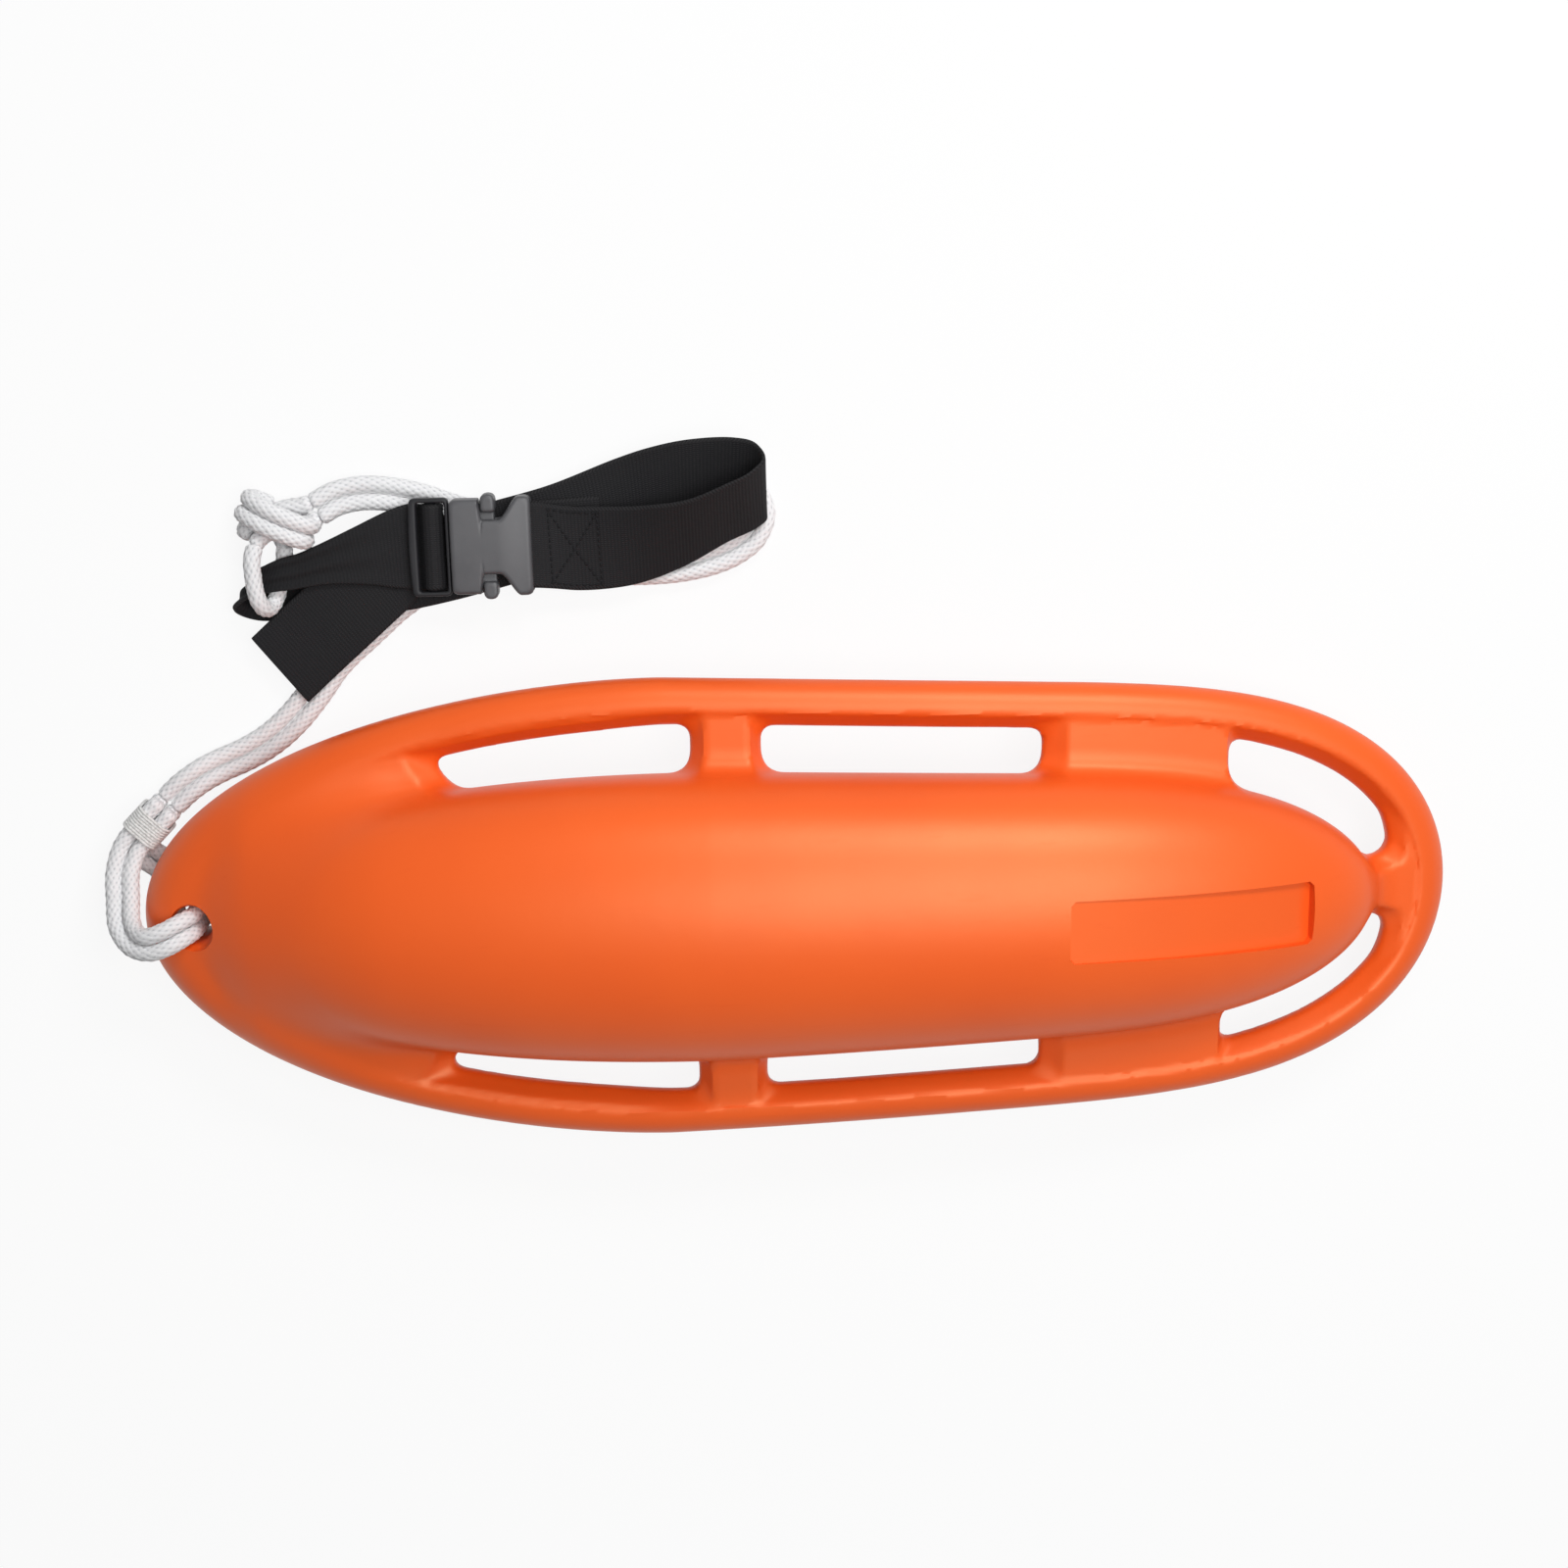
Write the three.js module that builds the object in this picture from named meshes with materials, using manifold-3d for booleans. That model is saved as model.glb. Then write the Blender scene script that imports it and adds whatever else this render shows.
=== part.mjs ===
// Rescue can buoy: a hollow moulded can with six grip slots, a doubled tow rope and a webbing belt.
// Millimetres, +Z up. The can lies on its back on the floor, nose to -X, and the belt lies beside it at +Y.
import * as THREE from 'three';
import { mergeVertices } from 'three/addons/utils/BufferGeometryUtils.js';
import Module from 'manifold-3d';

const wasm = await Module();
wasm.setup();

// Driving dimensions of the can.
const can = {
  halfLength: 360,
  halfWidth: 129.5,
  widestX: -75,
  nosePower: 1.87,
  tailTaperShare: 0.14,
  tailTaperPower: 1.1,
  tailRoundStart: 110,
  tailPower: 3.7,
  railDiameter: 25,
  endDrop: 18,
  noseThickness: 40,
  noseFullShare: -0.833,
  noseStartShare: -0.514,
  wall: 3,
  restDepth: 2,
};

// The torpedo body that rises from the flange.
const body = {
  halfWidth: 79.5,
  widestX: -50,
  noseSetback: 22,
  tailSetback: 38,
  nosePower: 2.6,
  tailTaperShare: 0.17,
  tailTaperPower: 1.1,
  tailRoundStart: 120,
  tailPower: 3,
  lift: 16,
  liftFadeLength: 120,
  frontDepthShare: 0.68,
  backDepthShare: 0.855,
  backSlopeShare: 0.08,
  neckHalfWidth: 14.5,
};
const bodyNoseX = body.noseSetback - can.halfLength;
const bodyTailX = can.halfLength - body.tailSetback;

// The rails' middle plane stands so high that the flat land on the body's back is restDepth deep.
const railPlaneHeight = body.backDepthShare * body.halfWidth - body.lift - can.restDepth;

// Grip slots, one entry for each pair: start and end as shares of the can's half length, and the rounding of both ends.
const slotShares = [[-0.5417, -0.1639], [-0.0583, 0.3639], [0.65, 0.9083]];
const slotRounds = [[14, 12], [12, 12], [14, 9]];
const slots = slotShares.map(([fromShare, toShare], i) => ({
  from: fromShare * can.halfLength,
  to: toShare * can.halfLength,
  fromRound: slotRounds[i][0],
  toRound: slotRounds[i][1],
}));
const slotBodyBite = 2;

const label = { length: 133, width: 34, tailSetback: 51.5, depth: 2 };
const labelX = bodyTailX - label.tailSetback - label.length / 2;
const noseHole = { diameter: 21, inset: 29 };
const noseHoleX = noseHole.inset - can.halfLength;
const vent = { tailInset: 108, headDiameter: 20, headThickness: 2.2, shankDiameter: 11, shankLength: 8, bossDiameter: 30 };
const ventX = bodyTailX - vent.tailInset;
const cavity = { noseSetback: 42, tailSetback: 22, padInset: 21, padHeight: 12 };
const fit = 0.3;
const overrun = 40;

// Rope and webbing sizes.
const rope = { diameter: 9, pairGap: 0.4, sides: 8 };
const belt = { width: 46, thickness: 2, layout: 100 };
const seizing = { length: 15, wall: 2.4, x: -358, y: 48, z: 16.1, yaw: 45 };
const knot = { x: -277, y: 212.5, z: 13.8, halfLength: 22.5, halfWidth: 14.5, halfHeight: 12.8, bulgeShare: 0.12 };

// Side-release buckle, given about its own centre line.
const buckle = {
  y: 198,
  centreZ: 20.2,
  mouthX: -184,
  rearX: -140.5,
  height: 14.6,
  mouthHalfWidth: 25.4,
  waistHalfWidth: 24.2,
  rearHalfWidth: 26.6,
  waistLength: 22,
  flareLength: 8,
  edge: 1.4,
  cavityHalfWidth: 21.6,
  cavityHeight: 8,
  cavityLength: 28,
  windowFrom: 7,
  windowTo: 25,
  hoodThickness: 4.8,
  strapBayLength: 11.5,
  strapBayHalfWidth: 23.7,
  barLength: 6,
  barHeight: 3.8,
  barDrop: 4.6,
};
const plug = {
  frontBar: 2.2,
  innerSlot: 4.6,
  ladderBar: 6,
  outerSlot: 4.6,
  endBar: 4.6,
  halfWidth: 26.4,
  slotHalfWidth: 23.8,
  height: 6,
  ladderHeight: 4.4,
  ladderDrop: 1.3,
  tongueLength: 22,
  tongueHalfWidth: 3.6,
  tongueHeight: 4,
};
const arm = {
  rootRadius: 2.5,
  rootY: 9,
  beamThickness: 3.4,
  height: 6,
  headStart: 0.6,
  headLength: 16.4,
  headOuterY: 24,
  headInnerY: 13,
  tipLength: 3.2,
};

const orange = new THREE.MeshStandardMaterial({ color: 0xf4641e, roughness: 0.5, metalness: 0 });
const orangePlug = new THREE.MeshStandardMaterial({ color: 0xe8591a, roughness: 0.5, metalness: 0 });
const whiteRope = new THREE.MeshStandardMaterial({ color: 0xe6e6ea, roughness: 0.9, metalness: 0 });
const whiteTwine = new THREE.MeshStandardMaterial({ color: 0xf2f2f0, roughness: 0.7, metalness: 0 });
const blackWebbing = new THREE.MeshStandardMaterial({ color: 0x232325, roughness: 0.85, metalness: 0 });
const greyPlastic = new THREE.MeshStandardMaterial({ color: 0x57575b, roughness: 0.42, metalness: 0 });

const group = new THREE.Group();

// Drops the attributes that keep shared corners apart, then removes collapsed triangles.
function cleaned(geometry) {
  const bare = geometry.clone();
  for (const name of Object.keys(bare.attributes)) {
    if (name !== 'position') bare.deleteAttribute(name);
  }
  const merged = mergeVertices(bare, 1e-4);
  const index = merged.index.array;
  const kept = [];
  for (let i = 0; i < index.length; i += 3) {
    const [a, b, c] = [index[i], index[i + 1], index[i + 2]];
    if (a !== b && b !== c && a !== c) kept.push(a, b, c);
  }
  merged.setIndex(kept);
  return merged;
}

function toSolid(geometry) {
  const merged = cleaned(geometry);
  return new wasm.Manifold(new wasm.Mesh({
    numProp: 3,
    vertProperties: new Float32Array(merged.attributes.position.array),
    triVerts: new Uint32Array(merged.index.array),
  }));
}

function toGeometry(solid) {
  const mesh = solid.getMesh();
  const geometry = new THREE.BufferGeometry();
  geometry.setAttribute('position', new THREE.BufferAttribute(new Float32Array(mesh.vertProperties), 3));
  geometry.setIndex(new THREE.BufferAttribute(new Uint32Array(mesh.triVerts), 1));
  return geometry;
}

function addPiece(name, geometry, material) {
  const mesh = new THREE.Mesh(cleaned(geometry), material);
  mesh.name = name;
  group.add(mesh);
  return mesh;
}

function moved(geometry, x, y, z) {
  geometry.translate(x, y, z);
  return geometry;
}

function mapPoints(geometry, place) {
  const position = geometry.attributes.position;
  const point = new THREE.Vector3();
  for (let i = 0; i < position.count; i += 1) {
    point.fromBufferAttribute(position, i);
    place(point);
    position.setXYZ(i, point.x, point.y, point.z);
  }
  return geometry;
}

// Turns a geometry inside out, for shapes whose mapping mirrors them.
function flipped(geometry) {
  const flat = geometry.index ? geometry.toNonIndexed() : geometry;
  const position = flat.attributes.position;
  for (let i = 0; i < position.count; i += 3) {
    const [x, y, z] = [position.getX(i), position.getY(i), position.getZ(i)];
    position.setXYZ(i, position.getX(i + 1), position.getY(i + 1), position.getZ(i + 1));
    position.setXYZ(i + 1, x, y, z);
  }
  return flat;
}

function smoothShare(value) {
  const share = Math.min(Math.max(value, 0), 1);
  return share * share * (3 - 2 * share);
}

// Half-width of the outline at x: a blunt ellipse at the nose, a slow taper and a round tail.
function outlineHalfWidth(x) {
  if (x <= can.widestX) {
    const share = Math.min((can.widestX - x) / (can.widestX + can.halfLength), 1);
    return can.halfWidth * Math.sqrt(Math.max(1 - share ** can.nosePower, 0));
  }
  const behind = (x - can.widestX) / (can.halfLength - can.widestX);
  const taper = 1 - can.tailTaperShare * behind ** can.tailTaperPower;
  const share = Math.min(Math.max((x - can.tailRoundStart) / (can.halfLength - can.tailRoundStart), 0), 1);
  return can.halfWidth * taper * Math.sqrt(1 - share ** can.tailPower);
}

function bodyHalfWidth(x, inset) {
  const noseX = bodyNoseX + inset;
  const tailX = bodyTailX - inset;
  const widest = body.halfWidth - inset;
  if (x <= body.widestX) {
    const share = Math.min((body.widestX - x) / (body.widestX - noseX), 1);
    return widest * Math.sqrt(Math.max(1 - share ** body.nosePower, 0));
  }
  const behind = Math.min((x - body.widestX) / (tailX - body.widestX), 1);
  const taper = 1 - body.tailTaperShare * behind ** body.tailTaperPower;
  const share = Math.min(Math.max((x - body.tailRoundStart) / (tailX - body.tailRoundStart), 0), 1);
  return widest * taper * Math.sqrt(1 - share ** body.tailPower);
}

// Height of the rails' middle plane: the can bows, so nose and tail hang lower.
function railHeight(x) {
  return railPlaneHeight - can.endDrop * (x / can.halfLength) ** 2;
}

function bodyLift(x) {
  return body.lift * (0.25 + 0.75 * smoothShare((x - bodyNoseX) / body.liftFadeLength));
}

function depthShare(x, up) {
  if (up) return body.frontDepthShare;
  return body.backDepthShare * (1 + body.backSlopeShare * x / can.halfLength);
}

function flangeHalfThickness(x) {
  const share = smoothShare((can.noseStartShare - x / can.halfLength) / (can.noseStartShare - can.noseFullShare));
  return (can.railDiameter + (can.noseThickness - can.railDiameter) * share) / 2;
}

// The body as a solid of revolution, pressed to its depth above and below and laid along the bow.
function bodySolid(inset, noseX, tailX, stations, sides) {
  const from = Math.max(noseX, bodyNoseX + inset);
  const to = Math.min(tailX, bodyTailX - inset);
  const profile = [];
  for (let i = 0; i <= stations; i += 1) {
    const x = (from + to) / 2 - (to - from) / 2 * Math.cos(Math.PI * i / stations);
    profile.push(new THREE.Vector2(bodyHalfWidth(x, inset), x));
  }
  const first = new THREE.Vector2(0, from);
  const last = new THREE.Vector2(0, to);
  const geometry = new THREE.LatheGeometry([first, ...profile, last], sides);
  mapPoints(geometry, (point) => {
    const [across, along, up] = [point.x, point.y, point.z];
    const shrink = depthShare(along, up > 0);
    point.set(along, across, railHeight(along) + bodyLift(along) + up * shrink);
  });
  return toSolid(flipped(geometry));
}

// Points of the outline pushed inwards along their normals, from nose to tail on the +Y side.
function insetOutline(inset, count) {
  const points = [];
  for (let i = 0; i <= count; i += 1) {
    const angle = Math.PI * i / count;
    const x = -can.halfLength * Math.cos(angle);
    const step = can.railDiameter / 100;
    const before = new THREE.Vector2(x - step, outlineHalfWidth(Math.max(x - step, -can.halfLength)));
    const after = new THREE.Vector2(x + step, outlineHalfWidth(Math.min(x + step, can.halfLength)));
    const normal = new THREE.Vector2(after.y - before.y, before.x - after.x).normalize();
    if (i === 0) normal.set(1, 0);
    if (i === count) normal.set(-1, 0);
    points.push(new THREE.Vector2(x, outlineHalfWidth(x)).addScaledVector(normal, inset));
  }
  return points;
}

const railInnerPoints = insetOutline(can.railDiameter, 240);

function railInnerY(x) {
  for (let i = 1; i < railInnerPoints.length; i += 1) {
    const [a, b] = [railInnerPoints[i - 1], railInnerPoints[i]];
    if (a.x <= x && b.x >= x && b.x > a.x) return a.y + (b.y - a.y) * (x - a.x) / (b.x - a.x);
  }
  return 0;
}

// A grip slot: between the rail and the body, closed by round ends.
function slotPoints(slot, count) {
  const [upper, lower] = [[], []];
  for (let i = 0; i <= count; i += 1) {
    const x = (slot.from + slot.to) / 2 - (slot.to - slot.from) / 2 * Math.cos(Math.PI * i / count);
    const outer = railInnerY(x);
    const inner = Math.max(bodyHalfWidth(x, 0) - slotBodyBite, body.neckHalfWidth);
    const fromShare = Math.min((x - slot.from) / slot.fromRound, 1);
    const toShare = Math.min((slot.to - x) / slot.toRound, 1);
    const round = Math.sqrt(Math.max((1 - (1 - fromShare) ** 2) * (1 - (1 - toShare) ** 2), 0));
    const middle = (outer + inner) / 2;
    upper.push(new THREE.Vector2(x, middle + (outer - inner) / 2 * round));
    if (i > 0 && i < count) lower.push(new THREE.Vector2(x, middle - (outer - inner) / 2 * round));
  }
  return [...upper, ...lower.reverse()];
}

function mirroredY(points) {
  return points.map((point) => new THREE.Vector2(point.x, -point.y)).reverse();
}

// The flange with its rails, ribs and pads: one plate with half-round edges, thicker at the nose.
function flangeSolid() {
  const side = insetOutline(0, 40);
  const shape = new THREE.Shape([...side, ...mirroredY(side).slice(1, -1)].reverse());
  for (const slot of slots) {
    const points = slotPoints(slot, 14);
    shape.holes.push(new THREE.Path(points));
    shape.holes.push(new THREE.Path(mirroredY(points)));
  }
  const radius = can.railDiameter / 2;
  const land = can.railDiameter / 100;
  const geometry = new THREE.ExtrudeGeometry(shape, {
    depth: land,
    bevelEnabled: true,
    bevelThickness: radius - land / 2,
    bevelSize: radius - land,
    bevelOffset: land - radius,
    bevelSegments: 3,
    steps: 1,
  });
  geometry.translate(0, 0, -land / 2);
  mapPoints(geometry, (point) => {
    const scale = flangeHalfThickness(point.x) / radius;
    point.z = point.z * scale + railHeight(point.x);
  });
  return toSolid(geometry);
}

function boxSolid(length, width, height, x, y, z) {
  return toSolid(moved(new THREE.BoxGeometry(length, width, height), x, y, z));
}

// A round bar along Z, for bores and bosses.
function roundSolid(diameter, fromZ, toZ, x, y, sides) {
  const geometry = new THREE.CylinderGeometry(diameter / 2, diameter / 2, toZ - fromZ, sides);
  geometry.rotateX(Math.PI / 2);
  return toSolid(moved(geometry, x, y, (fromZ + toZ) / 2));
}

// Hollow inside the rails, from one side of the nose round the tail to the other side.
function railCavitySolid() {
  const all = insetOutline(can.railDiameter / 2, 44).filter((point) => point.x > bodyNoseX + cavity.noseSetback);
  const path = [...all, ...mirroredY(all)].filter((point, i, list) => i === 0 || point.distanceTo(list[i - 1]) > can.wall);
  const curve = new THREE.CatmullRomCurve3(path.map((point) => new THREE.Vector3(point.x, point.y, 0)));
  const radius = can.railDiameter / 2 - can.wall;
  const section = new THREE.Shape();
  section.absarc(0, 0, radius, 0, 2 * Math.PI);
  const geometry = new THREE.ExtrudeGeometry(section, {
    steps: 56,
    bevelEnabled: false,
    extrudePath: curve,
    curveSegments: 4,
  });
  mapPoints(geometry, (point) => {
    point.z += railHeight(point.x);
  });
  return toSolid(geometry);
}

const ventFloorZ = railHeight(ventX) + bodyLift(ventX) - depthShare(ventX, false) * bodyHalfWidth(ventX, 0);
const ventSeatZ = ventFloorZ + vent.headThickness + can.wall / 2;

function cavitySolid() {
  let hollow = bodySolid(can.wall, bodyNoseX + cavity.noseSetback, bodyTailX - cavity.tailSetback, 22, 20);
  hollow = hollow.add(railCavitySolid());
  const [padFrom, padTo] = [slots[1].to + cavity.padInset, slots[2].from - cavity.padInset];
  const padLength = padTo - padFrom;
  const padMiddle = (padFrom + padTo) / 2;
  for (const side of [-1, 1]) {
    const outerY = outlineHalfWidth(padMiddle) - can.railDiameter / 2;
    const width = outerY - body.halfWidth / 2;
    const z = railHeight(padMiddle);
    hollow = hollow.add(boxSolid(padLength, width, cavity.padHeight, padMiddle, side * (outerY - width / 2), z));
  }
  const bossTop = ventSeatZ + can.wall;
  return hollow.subtract(roundSolid(vent.bossDiameter, ventFloorZ - overrun, bossTop, ventX, 0, 20));
}

function buildCanShell() {
  let shell = flangeSolid().add(bodySolid(0, bodyNoseX, bodyTailX, 34, 28));
  const inner = bodySolid(label.depth, bodyNoseX, bodyTailX, 34, 28);
  const labelFloor = railHeight(labelX) + body.lift;
  const frame = boxSolid(label.length, label.width, body.halfWidth, labelX, 0, labelFloor + body.halfWidth / 2);
  shell = shell.subtract(frame.subtract(inner));
  shell = shell.subtract(cavitySolid());
  shell = shell.subtract(roundSolid(noseHole.diameter, -overrun, railPlaneHeight + overrun, noseHoleX, 0, 24));
  const clearHead = vent.headDiameter + 2 * fit;
  const clearShank = vent.shankDiameter + 2 * fit;
  shell = shell.subtract(roundSolid(clearHead, ventFloorZ - overrun, ventSeatZ, ventX, 0, 24));
  shell = shell.subtract(roundSolid(clearShank, ventFloorZ - overrun, ventSeatZ + vent.shankLength, ventX, 0, 16));
  const floorCut = boxSolid(3 * can.halfLength, 3 * can.halfWidth, overrun, 0, 0, -overrun / 2);
  shell = shell.subtract(floorCut);
  addPiece('can_shell', toGeometry(shell), orange);
}

function buildVentPlug() {
  const headTop = ventSeatZ - fit;
  const head = headTop - vent.headThickness;
  const top = headTop + vent.shankLength - can.wall;
  const chamfer = vent.headThickness / 4;
  const profile = [
    new THREE.Vector2(0, head),
    new THREE.Vector2(vent.headDiameter / 2 - chamfer, head),
    new THREE.Vector2(vent.headDiameter / 2, head + chamfer),
    new THREE.Vector2(vent.headDiameter / 2, headTop),
    new THREE.Vector2(vent.shankDiameter / 2, headTop),
    new THREE.Vector2(vent.shankDiameter / 2, top),
    new THREE.Vector2(0, top),
  ];
  const geometry = new THREE.LatheGeometry(profile, 24);
  geometry.rotateX(Math.PI / 2);
  addPiece('vent_plug', moved(geometry, ventX, 0, 0), orangePlug);
}

// A rope tube along points. Its section has flat sides.
function ropeGeometry(points, steps) {
  const curve = new THREE.CatmullRomCurve3(points, false, 'centripetal');
  const section = new THREE.Shape();
  for (let i = 0; i < rope.sides; i += 1) {
    const angle = 2 * Math.PI * (i + 0.5) / rope.sides;
    const [x, y] = [rope.diameter / 2 * Math.cos(angle), rope.diameter / 2 * Math.sin(angle)];
    if (i === 0) section.moveTo(x, y);
    else section.lineTo(x, y);
  }
  section.closePath();
  return new THREE.ExtrudeGeometry(section, { steps, bevelEnabled: false, extrudePath: curve, curveSegments: 1 });
}

const pairOffset = (rope.diameter + rope.pairGap) / 2;

// The eye through the nose hole, middle of its two strands: x, y, z and the plan angle from one strand to the other.
const noseEyePoints = [
  [-347.4, 58.6, 20.8, 135],
  [-352, 54, 20.8, 135],
  [-358, 48, 20.8, 135],
  [-364, 42, 20.9, 137],
  [-369, 35, 22.5, 156],
  [-372, 24, 27.5, 175],
  [-371, 11, 36, 188],
  [-368.5, 0, 46.5, 207],
  [-362, -6.5, 55, 244],
  [-353, -7.5, 60.5, 276],
  [-343.5, -4.5, 61.5, 287],
  [-335.5, -1, 57.5, 278],
  [-331, 0, 48, 270],
  [-331, 0, 34, 270],
  [-331, 0, 21, 264],
  [-332.5, 1.4, 12.5, 250],
  [-338, 6.4, 6.2, 229],
  [-347, 14.2, 5, 229],
  [-356, 22, 5, 228],
  [-363.7, 28.9, 6, 219],
  [-366.8, 35.3, 8.8, 181],
  [-364, 42, 11.4, 140],
  [-358, 48, 11.4, 135],
  [-352, 54, 11.4, 135],
  [-347.4, 58.6, 11.4, 135],
];

function eyeStrandPoints(side) {
  return noseEyePoints.map(([x, y, z, angle]) => {
    const turn = THREE.MathUtils.degToRad(angle);
    return new THREE.Vector3(
      x + side * pairOffset * Math.cos(turn),
      y + side * pairOffset * Math.sin(turn),
      z,
    );
  });
}

// Middle of the doubled rope from the binding, under the belt, round its far end and back to the knot.
const towRoutePoints = [
  [-347.15, 58.85, 11.4],
  [-333.5, 72, 11.4],
  [-318, 81, 7],
  [-299, 92, 4.8],
  [-280, 105.5, 4.8],
  [-264.5, 121, 4.8],
  [-250.5, 138, 4.8],
  [-233.5, 151.5, 4.8],
  [-212, 168.5, 4.8],
  [-187, 181, 4.8],
  [-155, 186, 4.8],
  [-120, 185, 4.8],
  [-90, 182, 4.8],
  [-62, 183, 4.8],
  [-40, 188, 4.8],
  [-24, 197.5, 4.8],
  [-18.5, 210.5, 4.8],
  [-25, 223, 4.8],
  [-43, 228.5, 4.8],
  [-75, 224, 4.8],
  [-108, 216, 4.8],
  [-135, 210, 4.8],
  [-158, 209, 4.8],
  [-180, 214, 4.8],
  [-201, 221.5, 4.8],
  [-222, 226, 6.5],
  [-242, 225, 9.8],
  [-255.9, 218.4, 12.7],
];

function towStrandPoints(side) {
  const middle = new THREE.CatmullRomCurve3(towRoutePoints.map((p) => new THREE.Vector3(...p)), false, 'centripetal');
  const points = [];
  const count = 46;
  for (let i = 0; i <= count; i += 1) {
    const share = i / count;
    const tangent = middle.getTangentAt(share);
    const across = new THREE.Vector3(-tangent.y, tangent.x, 0).normalize();
    points.push(middle.getPointAt(share).addScaledVector(across, side * pairOffset));
  }
  return points;
}

// The short eye that leaves the knot, crosses the gathered webbing and comes back inside its bight.
const beltEyePoints = [
  [-288.3, 200.9, 19.8],
  [-289.8, 193.5, 23],
  [-289.6, 185.5, 24],
  [-289, 178, 24.2],
  [-287.8, 171.6, 23],
  [-286, 167.2, 19.4],
  [-284, 166.2, 14.6],
  [-281.6, 169.4, 10],
  [-279, 176.4, 8.9],
  [-277, 184, 8.9],
  [-275.4, 191, 9],
  [-274.4, 199.2, 9.6],
];

function buildRopes() {
  addPiece('rope_nose_eye_outer', ropeGeometry(eyeStrandPoints(1), 46), whiteRope);
  addPiece('rope_nose_eye_inner', ropeGeometry(eyeStrandPoints(-1), 46), whiteRope);
  addPiece('rope_leg_left', ropeGeometry(towStrandPoints(1), 60), whiteRope);
  addPiece('rope_leg_right', ropeGeometry(towStrandPoints(-1), 60), whiteRope);
  addPiece('rope_belt_eye', ropeGeometry(beltEyePoints.map((p) => new THREE.Vector3(...p)), 22), whiteRope);
}

// Binding that holds the four strands together beside the nose.
function buildSeizing() {
  const half = rope.diameter + rope.pairGap / 2 + fit;
  const outerHalf = half + seizing.wall;
  const corner = rope.diameter / 2;
  const squareShape = (reach, radius, target) => {
    target.moveTo(reach - radius, -reach);
    target.absarc(reach - radius, radius - reach, radius, -Math.PI / 2, 0, false);
    target.absarc(reach - radius, reach - radius, radius, 0, Math.PI / 2, false);
    target.absarc(radius - reach, reach - radius, radius, Math.PI / 2, Math.PI, false);
    target.absarc(radius - reach, radius - reach, radius, Math.PI, 1.5 * Math.PI, false);
    return target;
  };
  const shape = squareShape(outerHalf, corner + seizing.wall / 2, new THREE.Shape());
  shape.holes.push(squareShape(half, corner / 2, new THREE.Path()));
  const geometry = new THREE.ExtrudeGeometry(shape, { depth: seizing.length, bevelEnabled: false, curveSegments: 4 });
  geometry.translate(0, 0, -seizing.length / 2);
  geometry.rotateX(Math.PI / 2);
  geometry.rotateZ(THREE.MathUtils.degToRad(seizing.yaw - 90));
  addPiece('rope_seizing', moved(geometry, seizing.x, seizing.y, seizing.z), whiteTwine);
}

// The knot as its outer form: a long round lump with a waist.
function buildKnot() {
  const profile = [];
  const count = 12;
  for (let i = 0; i <= count; i += 1) {
    const angle = Math.PI * i / count;
    const waist = 1 - knot.bulgeShare * Math.sin(angle) ** 6;
    profile.push(new THREE.Vector2(Math.max(Math.sin(angle) * waist, 0), -Math.cos(angle)));
  }
  profile[0].x = 0;
  profile[count].x = 0;
  const geometry = new THREE.LatheGeometry(profile, 16);
  mapPoints(geometry, (point) => {
    point.set(point.y * knot.halfLength, point.x * knot.halfWidth, point.z * knot.halfHeight);
  });
  const lump = toSolid(flipped(moved(geometry, knot.x, knot.y, knot.z)));
  addPiece('rope_knot', toGeometry(lump), whiteRope);
}

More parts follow.
